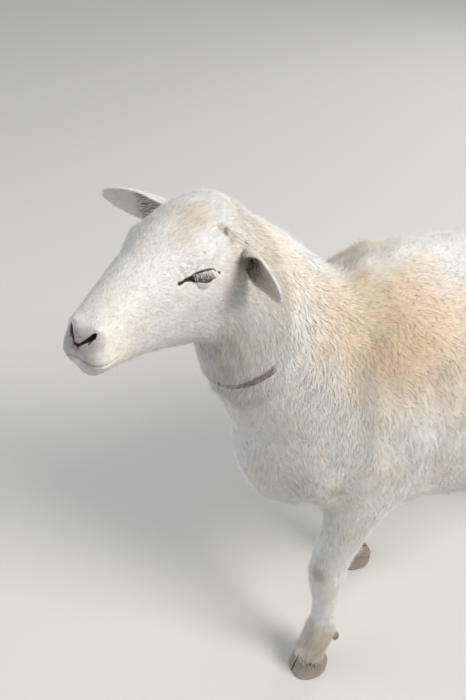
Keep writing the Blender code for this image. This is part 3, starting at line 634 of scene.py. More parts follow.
# Forms of the skull under the skin: place, reach and height in mm.
SKULL_FORMS = (
    ((0.100, 0.050, -0.024), 15, 3.0),  # brow ridge
    ((0.136, 0.040, -0.036), 14, -2.6),  # hollow in front of the eye
    ((0.078, 0.030, 0.000), 20, 1.6),  # forehead
    ((0.062, 0.054, -0.036), 13, -1.8),  # hollow behind the brow
    ((0.110, 0.056, -0.072), 18, 1.6),  # cheekbone
)
PRESSED_LINES = {
    "tear": TEAR_GROOVE,
    "corner": OUTER_CORNER,
    "nostril": NOSTRIL,
    "branch": NOSTRIL_BRANCH,
    "crease": SCUR_CREASE,
    "lips": LIP_LINE,
}
GROOVE_DEPTHS = {"tear": 0.0016, "corner": 0.0016, "crease": 0.0028}
# How dark each line is painted: partly dark bare skin, partly painted shade in the slits and grooves.
DARKNESS_OF_LINES = {"tear": 1, "corner": 0.95, "nostril": 1, "branch": 0.8}


def eye_frame(side):
    """X to the inner corner, Y up across the opening and Z out of the eye."""
    outward = Vector((EYE_OUTWARD[0], side * EYE_OUTWARD[1], EYE_OUTWARD[2])).normalized()
    forward = Vector((EYE_FORWARD[0], side * EYE_FORWARD[1], EYE_FORWARD[2]))
    forward = (forward - forward.dot(outward) * outward).normalized()
    up = side * forward.cross(outward)
    local = Matrix((forward, up, outward)).transposed().to_4x4()
    low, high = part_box("eye_left" if side > 0 else "eye_right")
    made = HEAD.to_3x3().to_4x4() @ local
    made.translation = (low + high) / 2
    return made


def outside_opening(a, b):
    """How far outside the lids' opening a place is, in the eye's frame: below 0 inside it."""
    along = np.clip(1 - (a / OPENING_HALF) ** 2, 0, 1)
    upper = b - OPENING_UP * along**0.75
    lower = -b - OPENING_DOWN * along**0.9
    return np.maximum(np.maximum(upper, lower), np.abs(a) - OPENING_HALF)


def near_line(points, line):
    """Distance to a broken line, and the line's fourth value where it is nearest, if any."""
    line = np.array(line, float)
    best = np.full(len(points), np.inf)
    value = np.zeros(len(points))
    for first, last in zip(line, line[1:]):
        span = last[:3] - first[:3]
        t = np.clip((points - first[:3]) @ span / max(span @ span, 1e-12), 0, 1)
        apart = np.linalg.norm(points - first[:3] - t[:, None] * span, axis=1)
        closer = apart < best
        best[closer] = apart[closer]
        if line.shape[1] > 3:
            value[closer] = (first[3] + t * (last[3] - first[3]))[closer]
    return best, value


def mirrored(line, side):
    return [(x, side * y, *rest) for x, y, *rest in line]


def laid_on(surface, line):
    """The line cut into short steps, each moved to the nearest of the surface's points."""
    line = np.array(line, float)
    steps = np.linspace(0, len(line) - 1, 5 * (len(line) - 1) + 1)
    fine = np.stack([np.interp(steps, np.arange(len(line)), column) for column in line.T], axis=1)
    for row in fine:
        row[:3] = surface[np.linalg.norm(surface - row[:3], axis=1).argmin()]
    return fine


# %% Cut the mesh finer round the eyes, the nostrils and the lips
# Middle and reach of each zone: eye, nostril and, in the first, lips.
FINE_ZONES = (
    ((0.104, 0.055, -0.046), 0.034),
    ((0.250, 0.016, -0.068), 0.024),
    ((0.240, 0.020, -0.096), 0.022),
)
FINEST_ZONES = (((0.106, 0.055, -0.046), 0.028), ((0.252, 0.012, -0.068), 0.017))


def refine(mesh, zones):
    bm = bmesh.new()
    bm.from_mesh(mesh)
    bmesh.ops.triangulate(bm, faces=bm.faces)
    bm.verts.ensure_lookup_table()
    local = moved(places_of(mesh), HEAD.inverted())
    local[:, 1] = np.abs(local[:, 1])
    inside = np.zeros(len(local), bool)
    for middle, reach in zones:
        inside |= np.linalg.norm(local - middle, axis=1) < reach
    edges = [e for e in bm.edges if inside[e.verts[0].index] and inside[e.verts[1].index]]
    bmesh.ops.subdivide_edges(bm, edges=edges, cuts=1, use_grid_fill=False)
    bmesh.ops.triangulate(bm, faces=bm.faces)
    bm.to_mesh(mesh)
    bm.free()
    mesh.update()
    return len(edges)


for zones in (FINE_ZONES, FINEST_ZONES):
    print("edges cut", refine(skin_mesh, zones), "triangles", len(skin_mesh.polygons))

# %% [markdown]
# ## Sink the skin under the coat, then shape the face
#
# The hair tips are to reach the solids' surface, so the skin sinks by their height, less under
# the collar, which presses the hair flat. The eyes keep their place, and the lids are raised
# over them again afterwards.

# %% Sink and shape
COLLAR_CENTRE = moved([(0.373, -0.018, 0.664)], TO_SCENE)[0]
COLLAR_SLOPE = math.radians(46)
FORWARD_SHARE, UP_SHARE = math.cos(COLLAR_SLOPE), math.sin(COLLAR_SLOPE)
COLLAR_AXIS = moved([(FORWARD_SHARE, 0, UP_SHARE)], TO_SCENE, True)[0]
COLLAR_BACK = moved([(-UP_SHARE, 0, FORWARD_SHARE)], TO_SCENE, True)[0]
COLLAR_REACH = 0.15
PRESSED_SHARE = 0.72  # how much of the coat's height the bare strap takes
LOOSE_HEIGHT = (0.0045, 0.0065)  # skin is loose where the coat is at least so high
FOLD_END = (-0.10, 0.20)  # folds fade out from the shoulder to the rear
FOLD_LENGTH = 0.045
FOLD_SEED = 21
BODY_FOLD = 0.0016
FOLD_STRETCH = np.array((1.0, 1.0, 0.40))  # folds are longer up and down than across


def beside_collar(places):
    """Distance from the strap's middle plane, up the neck; far away for places off the neck."""
    away = places - COLLAR_CENTRE
    along = away @ COLLAR_AXIS
    return np.where(np.linalg.norm(away, axis=1) < COLLAR_REACH, along, 9.0)


def under_coat(places):
    """0 where the strap lies bare at the throat, 1 where the hair of the crest covers it."""
    return ramp((places - COLLAR_CENTRE) @ COLLAR_BACK, -0.030, -0.006)


def pressed_by_strap(places):
    """1 under the bare strap, fading to 0 beside it and where the coat covers it."""
    return (1 - ramp(np.abs(beside_collar(places)), 0.006, 0.022)) * (1 - under_coat(places))


def sink(mesh):
    """Lowers the skin by the coat's height and lays loose folds over neck, shoulder and flank."""
    places = places_of(mesh)
    height = combed(places)[1]
    pressed = 1 - PRESSED_SHARE * pressed_by_strap(places)
    loose = ramp(height, *LOOSE_HEIGHT) * (1 - 0.8 * ramp(places[:, 1], *FOLD_END))
    folds = BODY_FOLD * ripple(places * FOLD_STRETCH, FOLD_LENGTH, FOLD_SEED) * loose
    put_places(mesh, places - normals_of(mesh) * (height * pressed + folds)[:, None])


def shape_eye(places, side):
    """Raises lids over the eyeball and drops the skin inside the opening behind it."""
    local_frame = eye_frame(side)
    local = moved(places, local_frame.inverted())
    reach = np.linalg.norm(local, axis=1)
    near = (reach < LID_REACH) & (local[:, 2] > 0.0)
    a, b = local[near, 0], local[near, 1]
    r = reach[near]
    edge = outside_opening(a, b)
    front = ramp(local[near, 2] / r, 0.10, 0.50)
    lid_radius = (EYE_RADIUS + LID) * front
    raised = (r + lid_radius + np.sqrt((r - lid_radius) ** 2 + LID_BLEND**2)) / 2
    upper = (b > 0) & (np.abs(a) < OPENING_HALF * 1.15)
    raised -= bump_at(edge, LID_FOLD, 0.0014) * upper * LID_FOLD_DEPTH
    raised += bump_at(edge, LID_FOLD + 0.004, 0.003) * upper * LID_PUFF
    opened = ramp(edge, -0.0007, 0.0003)
    r_new = raised * opened + (EYE_RADIUS * BEHIND_EYE) * (1 - opened)
    local[near] *= (r_new / r)[:, None]
    return np.where(near[:, None], moved(local, local_frame), places)


LAID_LINES = {}  # the lines as they lie on the sunk skin, by name and side


def darkness(places):
    """1 on dark bare skin of lids, nostrils and lips, with painted shade in the slits and grooves,
    fading out round them.
    """
    local = moved(places, HEAD.inverted())
    dark = np.zeros(len(places))
    for side in (1, -1):
        eye = moved(places, eye_frame(side).inverted())
        reach = np.linalg.norm(eye, axis=1)
        edge = outside_opening(eye[:, 0], eye[:, 1])
        margin = np.where(eye[:, 1] > 0, UPPER_MARGIN, LOWER_MARGIN)
        near = (reach < 0.028) & (eye[:, 2] > 0)
        dark = np.maximum(dark, near * (1 - ramp(edge, margin, margin + 0.0011)))
        # Painted shade along the lip line.
        apart, _ = near_line(local, LAID_LINES["lips", side])
        dark = np.maximum(dark, 0.30 * (1 - ramp(apart, 0.0003, 0.0017)))
        for name, strength in DARKNESS_OF_LINES.items():
            apart, radius = near_line(local, LAID_LINES[name, side])
            dark = np.maximum(dark, strength * (1 - ramp(apart / radius, 0.8, 1.35)))
    return dark


def pressed_lines(local, side):
    """How deep nostrils, lips and grooves press each point in. Below 0 is a raised border."""
    lines = {name: near_line(local, LAID_LINES[name, side]) for name in PRESSED_LINES}
    apart, radius = lines["nostril"]
    narrow = np.minimum(1, radius / 0.0020) ** 1.5
    push = NOSTRIL_DEPTH * (1 - ramp(apart / radius, 0.40, 1.25)) * narrow
    push -= 0.0005 * bump_at(apart - radius, 0.0030, 0.0026)
    apart, radius = lines["branch"]
    push += 0.0016 * (1 - ramp(apart / radius, 0.4, 1.8))
    apart, _ = lines["lips"]
    push += LIP_DEPTH / 2 * (1 - ramp(apart, 0.0002, 0.0026))
    push -= 0.0005 * bump_at(apart, 0.0050, 0.0030)
    for name, depth in GROOVE_DEPTHS.items():
        apart, radius = lines[name]
        push += depth * (1 - ramp(apart / radius, 0.3, 1.6))
    return push


def skull_and_folds(places, local, side):
    """The same for the folds of the brow and the forms of the skull."""
    push = np.zeros(len(local))
    for line in BROW_FOLDS:
        apart, _ = near_line(local, laid_on(local, mirrored(line, side)))
        push += FOLD_DEPTH * (bump_at(apart, 0, 0.0016) - 0.6 * bump_at(apart, 0.004, 0.003))
    a, b, _ = moved(places, eye_frame(side).inverted()).T
    off_lids = ramp(outside_opening(a, b), 0.002, 0.009)
    for (x, y, z), reach, height in SKULL_FORMS:
        apart = np.linalg.norm(local - (x, side * y, z), axis=1)
        push -= height / 1000 * bump_at(apart * 1000, 0, reach) * off_lids
    return push


def shape_face(mesh):
    """Presses the lids, the nostrils and the lines into the skin, and notes where it is dark."""
    places = places_of(mesh)
    for side in (1, -1):
        places = shape_eye(places, side)
    put_places(mesh, places)
    normals = normals_of(mesh)
    local = moved(places, HEAD.inverted())
    push = np.zeros(len(places))
    for side in (1, -1):
        for name, line in PRESSED_LINES.items():
            LAID_LINES[name, side] = laid_on(local, mirrored(line, side))
        push += pressed_lines(local, side) + skull_and_folds(places, local, side)
    put_values(mesh, "dark_skin_and_painted_shade", darkness(places))
    middle_groove = bump_at(local[:, 1], 0, 0.0012) * ramp(local[:, 0], 0.247, 0.256)
    push += GROOVE_OF_LIP * middle_groove * ramp(-local[:, 2], 0.066, 0.074)
    put_places(mesh, places - normals * push[:, None])


sink(skin_mesh)
shape_face(skin_mesh)
for polygon in skin_mesh.polygons:
    polygon.use_smooth = True
print("skin sunk and shaped")

# %% [markdown]
# ## Ears
#
# A sheep's ear is a leaf of gristle, rolled like a scoop. It is lofted: one crescent section,
# wide in the middle and closed at the tip, is placed again and again along the ear. The root
# starts inside the head. The inner face is told apart by an attribute on its points, since the
# material there shows thin, darker skin through sparse hair.
# A second attribute darkens the hollow by the root and the crease of the fold: darker skin there, and
# painted shade.

# %% Ears
# For each ear: where a fold runs along the inner face, -1 to 1; how much wider the section's
# angle is at the root, where the ear closes to a tube; how far along it the dark hollow ends,
# darker skin with painted shade; how much white hair hides beyond that; how much of the
# solid's width it keeps, since the edges curl in.
EAR_LOOKS = {"ear_left": (0.30, 1.60, 0.34, 0.10, 0.80), "ear_right": (-0.38, 0.40, 0.56, 0.80, 1.0)}
RIB, CREASE = 0.0006, 0.0016  # relief of the inner face


def ear_section(share, fold, roll, hollow_end, hidden, kept_width):
    """Round the crescent: (across, out of the back, 1 on the inner face, 1 deep in it)."""
    s = max(share, 0)
    width = float(leaf(s))
    rolled = roll * float(1 - ramp(share, 0.16, 0.60))
    half_width = EAR_WIDTH / 2 * width * (1 - 0.22 * rolled) * kept_width
    curl = half_width * (EAR_CURL[0] - EAR_CURL[1] * s)
    spread = EAR_SPREAD + rolled
    thickness = EAR_THICKNESS * (1.7 - 0.9 * s) * min(1, width * 2)
    beyond_hollow = float(ramp(share, hollow_end - 0.06, hollow_end + 0.12))
    bare = float(ramp(share, 0.04, 0.20)) * (1 - hidden * beyond_hollow)
    hollow = float(1 - ramp(share, hollow_end - 0.08, hollow_end + 0.12))
    points = []
    for inner in (0, 1):
        across = np.linspace(1, -1, 19)[1:-1] if inner else np.linspace(-1, 1, 19)
        for t in across:
            y = half_width * math.sin(t * spread) / math.sin(EAR_SPREAD)
            z = curl * (math.cos(t * spread) - 1) - EAR_DROOP * s**2
            crease = float(bump_at(t, fold, 0.10)) * min(1, 6 * s) * max(0, 1 - 1.3 * s)
            ribs = RIB * math.cos(t * 9.0) * (1 - s) * (1 - t * t) + CREASE * crease
            away = thickness / 2 * (1 - 0.55 * t**4)
            away = away - ribs if inner else -away
            pink = inner * bare * (1 - 0.9 * float(ramp(abs(t), 0.70, 0.97)))
            # Darker skin with painted shade: deep in the hollow by the root and along the fold's
            # crease.
            deep = inner * max(0.85 * crease, hollow * (1 - 0.9 * t * t))
            turn = t * rolled  # the rolled edges keep their thickness
            y = y * (1 - 0.06 * t * t * inner) - math.sin(turn) * away
            points.append((y, z - math.cos(turn) * away, pink, deep * pink))
    return points


def ear_mesh(name):
    frame_matrix = ear_frame(name)
    points, flags = [], []
    for share in np.linspace(-0.12, 0.998, EAR_STEPS):
        section = ear_section(share, *EAR_LOOKS[name])
        points.extend(frame_matrix @ Vector((share * EAR_LENGTH, y, z)) for y, z, *_ in section)
        flags.extend((inner, deep) for _, _, inner, deep in section)
    size = len(section)
    faces = ring_faces(EAR_STEPS, size)
    last = size - 1
    for start in (0, (EAR_STEPS - 1) * size):
        for j in range(last // 2):
            faces.append((start + j, start + j + 1, start + last - 1 - j, start + last - j))
    mesh = smooth_outside(mesh_from(name, points, faces))
    for label, values in zip(("inner_ear", "deep_ear_skin_and_shade"), np.array(flags).T):
        put_values(mesh, label, values)
    return mesh


ear_meshes = {name: ear_mesh(name) for name in EARS}
for label in ("inner_ear", "deep_ear_skin_and_shade"):
    skin_mesh.attributes.new(label, "FLOAT", "POINT")
for mesh in ear_meshes.values():
    mesh.attributes.new("dark_skin_and_painted_shade", "FLOAT", "POINT")
skin = new_object("skin", joined([skin_mesh, *ear_meshes.values()], "skin"))
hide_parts(*FLESH, *EARS)
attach(skin, "root")
print("skin with ears", len(skin.data.polygons), "faces")

# %% [markdown]
# ## An unwrap of the skin
#
# A texture baked for this animal needs a flat map of its own skin. Smart UV Project cuts the
# surface where it turns sharply and lays the pieces side by side. Every tuft of hair later
# takes the place of its root on this map.

# %% Unwrap the skin
UNWRAP_ANGLE = math.radians(66)
for layer in list(skin.data.uv_layers):
    skin.data.uv_layers.remove(layer)
skin.data.uv_layers.new(name="OFBake")
bpy.context.view_layer.objects.active = skin
skin.select_set(True)
bpy.ops.object.mode_set(mode="EDIT")
bpy.ops.mesh.select_all(action="SELECT")
bpy.ops.uv.smart_project(angle_limit=UNWRAP_ANGLE, island_margin=0.002)
bpy.ops.object.mode_set(mode="OBJECT")
skin.select_set(False)
print("unwrapped", len(skin.data.uv_layers["OFBake"].data), "corners")

# %% [markdown]
# ## Markings
#
# The coat is ivory white. Lanolin, the wool's own wax, has stained it straw-yellow over the
# shoulder and flank, the skin shows pink through thin hair, and there are a few brown spots.
# Each mark is a soft ball in space with a colour, broken up by noise. The same node group
# feeds the skin and every piece of the coat, so they can't disagree.

# %% Markings shared by the skin and the coat
IVORY = "F5F3EF"
WARM_WHITE = "F2E9D9"
MARK_BEND = 0.075  # how far noise moves a mark's edge
LEAST_BENT = 0.03  # marks smaller than this keep their place
# Place, full within and gone beyond in mm, colour, strength. First on the body, then the head.
BODY_MARKS = (
    ((0.22, 0.10, 0.68), 30, 150, "E8CDAC", 0.95),
    ((0.27, 0.07, 0.70), 15, 90, "EBD7B5", 0.6),
    ((0.05, 0.15, 0.62), 30, 170, "E8D0AB", 0.8),
    ((-0.14, 0.15, 0.64), 30, 180, "EAD8B8", 0.6),
    ((0.22, -0.10, 0.67), 30, 150, "E7D1AC", 0.7),
    ((-0.05, -0.15, 0.63), 30, 190, "EAD8B8", 0.6),
    ((-0.36, 0.10, 0.60), 20, 150, "EBDCC0", 0.5),
    ((-0.36, -0.10, 0.60), 20, 150, "EBDCC0", 0.5),
    ((0.36, 0.02, 0.77), 20, 100, "F0E4CC", 0.55),
    ((0.302, 0.123, 0.442), 2, 22, "BFA987", 0.6),
    ((0.308, 0.112, 0.256), 3, 27, "A88A62", 0.6),
    ((0.285, 0.110, 0.085), 15, 60, "DCC8B4", 0.8),
    ((0.100, -0.080, 0.085), 15, 60, "DCC8B4", 0.8),
    ((-0.370, 0.098, 0.085), 15, 60, "DCC8B4", 0.8),
    ((-0.315, -0.096, 0.085), 15, 60, "DCC8B4", 0.8),
    ((0.292, 0.098, 0.040), 6, 34, "C3A280", 0.7),
    ((0.107, -0.080, 0.040), 6, 34, "C3A280", 0.7),
    ((-0.358, 0.098, 0.040), 6, 34, "C3A280", 0.7),
    ((-0.303, -0.096, 0.040), 6, 34, "C3A280", 0.7),
    ((-0.410, 0.110, 0.290), 4, 26, "D2B48A", 0.6),
    ((-0.49, 0.0, 0.56), 10, 90, "E4CFA4", 0.6),
)
HEAD_MARKS = (
    ((0.075, 0.012, 0.008), 8, 46, "E2D5C2", 0.75),
    ((0.110, 0.030, -0.008), 5, 26, "E2D8C8", 0.55),
    ((0.049, 0.041, -0.0140), 2, 8, "C0A07A", 0.7),
    ((0.0426, 0.0455, -0.0203), 3.5, 8.5, "6A4C30", 0.9),
    ((0.039, 0.051, -0.0300), 2, 10, "B79A74", 0.7),
    ((0.095, 0.0514, -0.0226), 0.6, 4.2, "857C70", 0.7),
    ((0.252, 0.010, -0.072), 6, 26, "938C8A", 0.80),
    ((0.252, -0.010, -0.072), 6, 26, "938C8A", 0.80),
    ((0.250, 0.014, -0.092), 5, 20, "A39D9A", 0.75),
    ((0.250, -0.014, -0.092), 5, 20, "A39D9A", 0.75),
    ((0.240, 0.0, -0.108), 8, 26, "BDB6B1", 0.65),
)


def placed_marks(table, matrix):
    """The table's marks at their places in the scene, in metres."""
    rows = []
    for place, full, gone, *rest in table:
        rows.append((tuple(moved([place], matrix)[0]), full / 1000, gone / 1000, *rest))
    return rows


def mixed(tree, share, first, second):
    """One colour over another by a share, as a socket."""
    node = tree.nodes.new("ShaderNodeMix")
    node.data_type = "RGBA"
    sockets = {"Factor": node.inputs[0], "A": node.inputs[6], "B": node.inputs[7]}
    for name, value in (("Factor", share), ("A", first), ("B", second)):
        if isinstance(value, bpy.types.NodeSocket):
            tree.links.new(value, sockets[name])
        else:
            sockets[name].default_value = value
    return node.outputs[2]


def marked(tree, colour, position, row):
    """The colour with one soft round mark on it."""
    place, full, gone, hex_colour, strength = row
    apart = add(tree, "ShaderNodeVectorMath", {0: position, 1: place}, operation="DISTANCE")
    limits = {"From Min": gone, "From Max": full, "To Min": 0.0, "To Max": strength}
    inputs = {"Value": apart.outputs["Value"], **limits}
    share = add(tree, "ShaderNodeMapRange", inputs, interpolation_type="SMOOTHSTEP")
    return mixed(tree, share.outputs["Result"], colour, linear(hex_colour))


def markings_group():
    group = bpy.data.node_groups.new("coat_markings", "ShaderNodeTree")
    group.interface.new_socket("Colour", in_out="OUTPUT", socket_type="NodeSocketColor")
    position = add(group, "ShaderNodeTexCoord").outputs["Object"]
    inputs = {"Vector": position, "Scale": 14.0, "Detail": 3.0, "Roughness": 0.6}
    patches = add(group, "ShaderNodeTexNoise", inputs)
    specks = add(group, "ShaderNodeTexNoise", {"Vector": position, "Scale": 120.0, "Detail": 2.0})
    inputs = {0: patches.outputs["Color"], 1: (0.5, 0.5, 0.5)}
    bend = add(group, "ShaderNodeVectorMath", inputs, operation="SUBTRACT")
    inputs = {0: bend.outputs["Vector"], "Scale": MARK_BEND}
    bend = add(group, "ShaderNodeVectorMath", inputs, operation="SCALE")
    inputs = {0: position, 1: bend.outputs["Vector"]}
    bent = add(group, "ShaderNodeVectorMath", inputs, operation="ADD").outputs["Vector"]
    inputs = {"Value": patches.outputs["Fac"], "From Min": 0.42, "From Max": 0.68, "To Max": 0.75}
    warmth = add(group, "ShaderNodeMapRange", inputs)
    colour = mixed(group, warmth.outputs["Result"], linear(IVORY), linear(WARM_WHITE))
    for row in placed_marks(BODY_MARKS, TO_SCENE) + placed_marks(HEAD_MARKS, HEAD):
        colour = marked(group, colour, bent if row[2] > LEAST_BENT else position, row)
    inputs = {"Value": specks.outputs["Fac"], "From Min": 0.3, "From Max": 0.7, "To Min": 0.90}
    uneven = add(group, "ShaderNodeMapRange", inputs)
    inputs = {0: colour, "Scale": uneven.outputs["Result"]}
    scaled = add(group, "ShaderNodeVectorMath", inputs, operation="SCALE")
    out = group.nodes.new("NodeGroupOutput")
    group.links.new(scaled.outputs["Vector"], out.inputs["Colour"])
    return group


MARKINGS = markings_group()
print("markings", len(MARKINGS.nodes), "nodes")

# %% [markdown]
# ## Skin as a material
#
# Living skin under short hair is soft and slightly waxy. It takes the shared markings, darkened
# as painted shade between the hairs, and a few marks of its own where hair thins out: the dark
# slits of the nostrils, the lips' edge and the grooves by the eyes, partly dark skin and partly
# painted shade, the grey-pink nose, and inside the ear brown skin with painted shade in its
# hollow. Fine noise as bump stands for hair too short to be modelled, at about one millimetre
# from crest to crest.

# %% Skin material
SKIN_MARKS = (
    ((0.2600, 0.0, -0.0740), 3, 9, "5A4C4C", 0.8),
    ((0.2500, 0.0190, -0.0640), 3, 9, "A79A98", 0.6),
    ((0.2500, -0.0190, -0.0640), 3, 9, "A79A98", 0.6),
)
SKIN_SHADE = 0.80  # painted shade: how much darker the skin is painted where it shows between the hairs
# Colours laid over the markings: the inner ear's own skin, and darker skin mixed with painted shade
# deep in the ear and in the face's slits and grooves.
BARE_SKIN_AND_SHADE = {"inner_ear": "A79B93", "deep_ear_skin_and_shade": "4E3C33", "dark_skin_and_painted_shade": "15100F"}


def skin_material():
    made, tree, shader = new_material("haired_skin", IVORY, 0.62)
    position = add(tree, "ShaderNodeTexCoord").outputs["Object"]
    group = tree.nodes.new("ShaderNodeGroup")
    group.node_tree = MARKINGS
    # Painted shade between the hairs: the shared markings, darkened.
    inputs = {0: group.outputs["Colour"], "Scale": SKIN_SHADE}
    colour = add(tree, "ShaderNodeVectorMath", inputs, operation="SCALE").outputs["Vector"]
    for row in placed_marks(SKIN_MARKS, HEAD):
        colour = marked(tree, colour, position, row)
    for label, hex_colour in BARE_SKIN_AND_SHADE.items():
        share = add(tree, "ShaderNodeAttribute", attribute_name=label).outputs["Fac"]
        colour = mixed(tree, share, colour, linear(hex_colour))
    tree.links.new(colour, shader.inputs["Base Color"])
    grain = add(tree, "ShaderNodeTexNoise", {"Vector": position, "Scale": 850.0, "Detail": 2.0})
    add_relief(tree, shader, grain.outputs["Fac"], 0.5, 0.0006)
    shader.inputs["Subsurface Weight"].default_value = 0.08
    shader.inputs["Subsurface Scale"].default_value = 0.004
    return made


skin.data.materials.clear()
skin.data.materials.append(skin_material())
for polygon in skin.data.polygons:
    polygon.material_index = 0
    polygon.use_smooth = True

# %% [markdown]
# ## Eyes
#
# A sheep's eye is an amber globe with a level slot for a pupil. It could be a sphere with a
# picture on it, but rings drawn by maths stay sharp at any distance. The ball is made of rings
# round its own axis, the cornea stands a little out of it, and a flat map across the eye tells
# the material how far each point is from the middle.

# %% Eyeballs
CORNEA_RISE = 0.0009
BALL_RADIUS = EYE_RADIUS - 0.0002
EYE_RINGS, EYE_SIDES = 28, 48
IRIS_RADIUS = 0.0098
PUPIL_HALF = (0.0052, 0.0019)


def eye_material():
    made, tree, shader = new_material("wet_amber_eye", "3A2413", 0.12)

    def edge(value, inside, outside):
        """0 on one side of a line in the eye and 1 on the other, with a soft step."""
        inputs = {"Value": value, "From Min": inside, "From Max": outside}
        step = add(tree, "ShaderNodeMapRange", inputs, interpolation_type="SMOOTHSTEP")
        return step.outputs["Result"]

    flat = add(tree, "ShaderNodeUVMap", uv_map="across").outputs["UV"]
    inputs = {0: flat, 1: (0.5, 0.5, 0)}
    centred = add(tree, "ShaderNodeVectorMath", inputs, operation="SUBTRACT").outputs["Vector"]
    reach = add(tree, "ShaderNodeVectorMath", {0: centred}, operation="LENGTH").outputs["Value"]
    size = 0.5 * IRIS_RADIUS / EYE_RADIUS
    inputs = {"Vector": centred, "Scale": 26.0, "Detail": 4.0, "Distortion": 1.2}
    rays = add(tree, "ShaderNodeTexNoise", inputs)
    amber = mixed(tree, rays.outputs["Fac"], linear("3A2413"), linear("7E5429"))
    amber = mixed(tree, edge(reach, size * 0.72, size), amber, linear("1E120A"))
    colour = mixed(tree, edge(reach, size, size * 1.05), amber, linear("4A342A"))
    wide, tall = (0.5 * half / EYE_RADIUS for half in PUPIL_HALF)
    inputs = {0: centred, 1: (1 / wide, 1 / tall, 0)}
    squeezed = add(tree, "ShaderNodeVectorMath", inputs, operation="MULTIPLY").outputs["Vector"]
    slot = add(tree, "ShaderNodeVectorMath", {0: squeezed}, operation="LENGTH").outputs["Value"]
    colour = mixed(tree, edge(slot, 1.15, 0.9), colour, linear("050404"))
    tree.links.new(colour, shader.inputs["Base Color"])
    shader.inputs["Coat Weight"].default_value = 1.0
    shader.inputs["Coat Roughness"].default_value = 0.03
    return made


def eyeball(name, side, material):
    points, flat = [], []
    place = eye_frame(side)
    for i in range(1, EYE_RINGS):
        angle = math.pi * (i / EYE_RINGS) ** 1.25
        swell = CORNEA_RISE * float(1 - ramp(angle, 0.25, 0.72))
        for j in range(EYE_SIDES):
            turn = 2 * math.pi * j / EYE_SIDES
            level = math.sin(angle)
            local = Vector((level * math.cos(turn), level * math.sin(turn), math.cos(angle)))
            points.append(place @ (local * (BALL_RADIUS + swell)))
            flat.append((0.5 + local.x / 2, 0.5 + local.y / 2))
    for end in (BALL_RADIUS + CORNEA_RISE, -EYE_RADIUS):
        points.append(place @ Vector((0, 0, end)))
        flat.append((0.5, 0.5))
    front, back = len(points) - 2, len(points) - 1
    faces = ring_faces(EYE_RINGS - 1, EYE_SIDES)
    last = (EYE_RINGS - 2) * EYE_SIDES
    for j in range(EYE_SIDES):
        k = (j + 1) % EYE_SIDES
        faces.append((front, k, j))
        faces.append((back, last + j, last + k))
    mesh = mesh_from(name, points, faces)
    layer = mesh.uv_layers.new(name="across")
    for loop in mesh.loops:
        layer.data[loop.index].uv = flat[loop.vertex_index]
    return new_object(name, smooth_outside(mesh), material)


EYE_FINISH = eye_material()
for node, side in (("eye_left", 1), ("eye_right", -1)):
    ball = eyeball("wet_" + node, side, EYE_FINISH)
    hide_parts(node)
    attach(ball, "root")
print("eyes", EYE_RADIUS * 2000, "mm across")

# %% [markdown]
# ## Lid edges and lashes
#
# The edges of a sheep's lids are black, wet and rounded. A tube swept round the opening gives
# them a clean line, which the skin's own triangles are too coarse for. The lashes of this
# animal are long and white. They repeat along a path, so Geometry Nodes place them: points
# along the lid's curve, a thin tapered blade on each, turned and sized by a seeded random
# value, and all made real at the end because an export keeps no instances. The same tree then
# sets a few whiskers on the chin.

# %% Lid edges
RIM_RADIUS, LOWER_RIM_RADIUS = 0.0009, 0.0016
RIM_REACH = EYE_RADIUS + 0.0006
RIM_STEPS, RIM_SIDES = 56, 10
RIM_LEAST_OUT = 0.0068  # the corners lie no deeper than this in front of the eye's middle


def lid_edge(side, steps, upper_only=False):
    """Points along the edge of the lids, in the eye's frame."""
    if upper_only:
        turns = np.linspace(0, math.pi, steps)
    else:
        turns = np.linspace(0, 2 * math.pi, steps, endpoint=False)
    line = []
    for turn in turns:
        a = OPENING_HALF * math.cos(turn)
        along = 1 - (a / OPENING_HALF) ** 2
        b = OPENING_UP * along**0.75 if turn <= math.pi else -OPENING_DOWN * along**0.9
        out = max(RIM_REACH**2 - a * a - b * b, RIM_LEAST_OUT**2)
        line.append(Vector((a, b, math.sqrt(out))))
    return line


def ring_tube(line, radii, sides):
    """Points and faces of a closed tube round a ring of places."""
    points = []
    for i, (middle, radius) in enumerate(zip(line, radii)):
        along = (line[(i + 1) % len(line)] - line[i - 1]).normalized()
        across = along.cross(Vector((0, 0, 1))).normalized()
        up = across.cross(along)
        for turn in np.linspace(0, 2 * math.pi, sides, endpoint=False):
            points.append(middle + (across * math.cos(turn) + up * math.sin(turn)) * radius)
    return points, ring_faces(len(line), sides, closed=True)


def wet_skin_material():
    made, tree, shader = new_material("wet_black_lid", "1D1614", 0.28)
    position = add(tree, "ShaderNodeTexCoord").outputs["Object"]
    noise = add(tree, "ShaderNodeTexNoise", {"Vector": position, "Scale": 900.0})
    colour = mixed(tree, noise.outputs["Fac"], linear("120D0C"), linear("3A2B27"))
    tree.links.new(colour, shader.inputs["Base Color"])
    add_relief(tree, shader, noise.outputs["Fac"], 0.3, 0.0003)
    shader.inputs["Coat Weight"].default_value = 0.5
    return made


WET_LID = wet_skin_material()
for name, side in (("lid_edge_left", 1), ("lid_edge_right", -1)):
    line = lid_edge(side, RIM_STEPS)
    lower = ramp([-point.y for point in line], 0.0, OPENING_DOWN * 0.8)
    radii = RIM_RADIUS + (LOWER_RIM_RADIUS - RIM_RADIUS) * lower
    points, faces = ring_tube(line, radii, RIM_SIDES)
    place = eye_frame(side)
    mesh = mesh_from(name, [place @ p for p in points], faces)
    rim = new_object(name, smooth_outside(mesh), WET_LID)
    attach(rim, "root")
print("lid edges made")

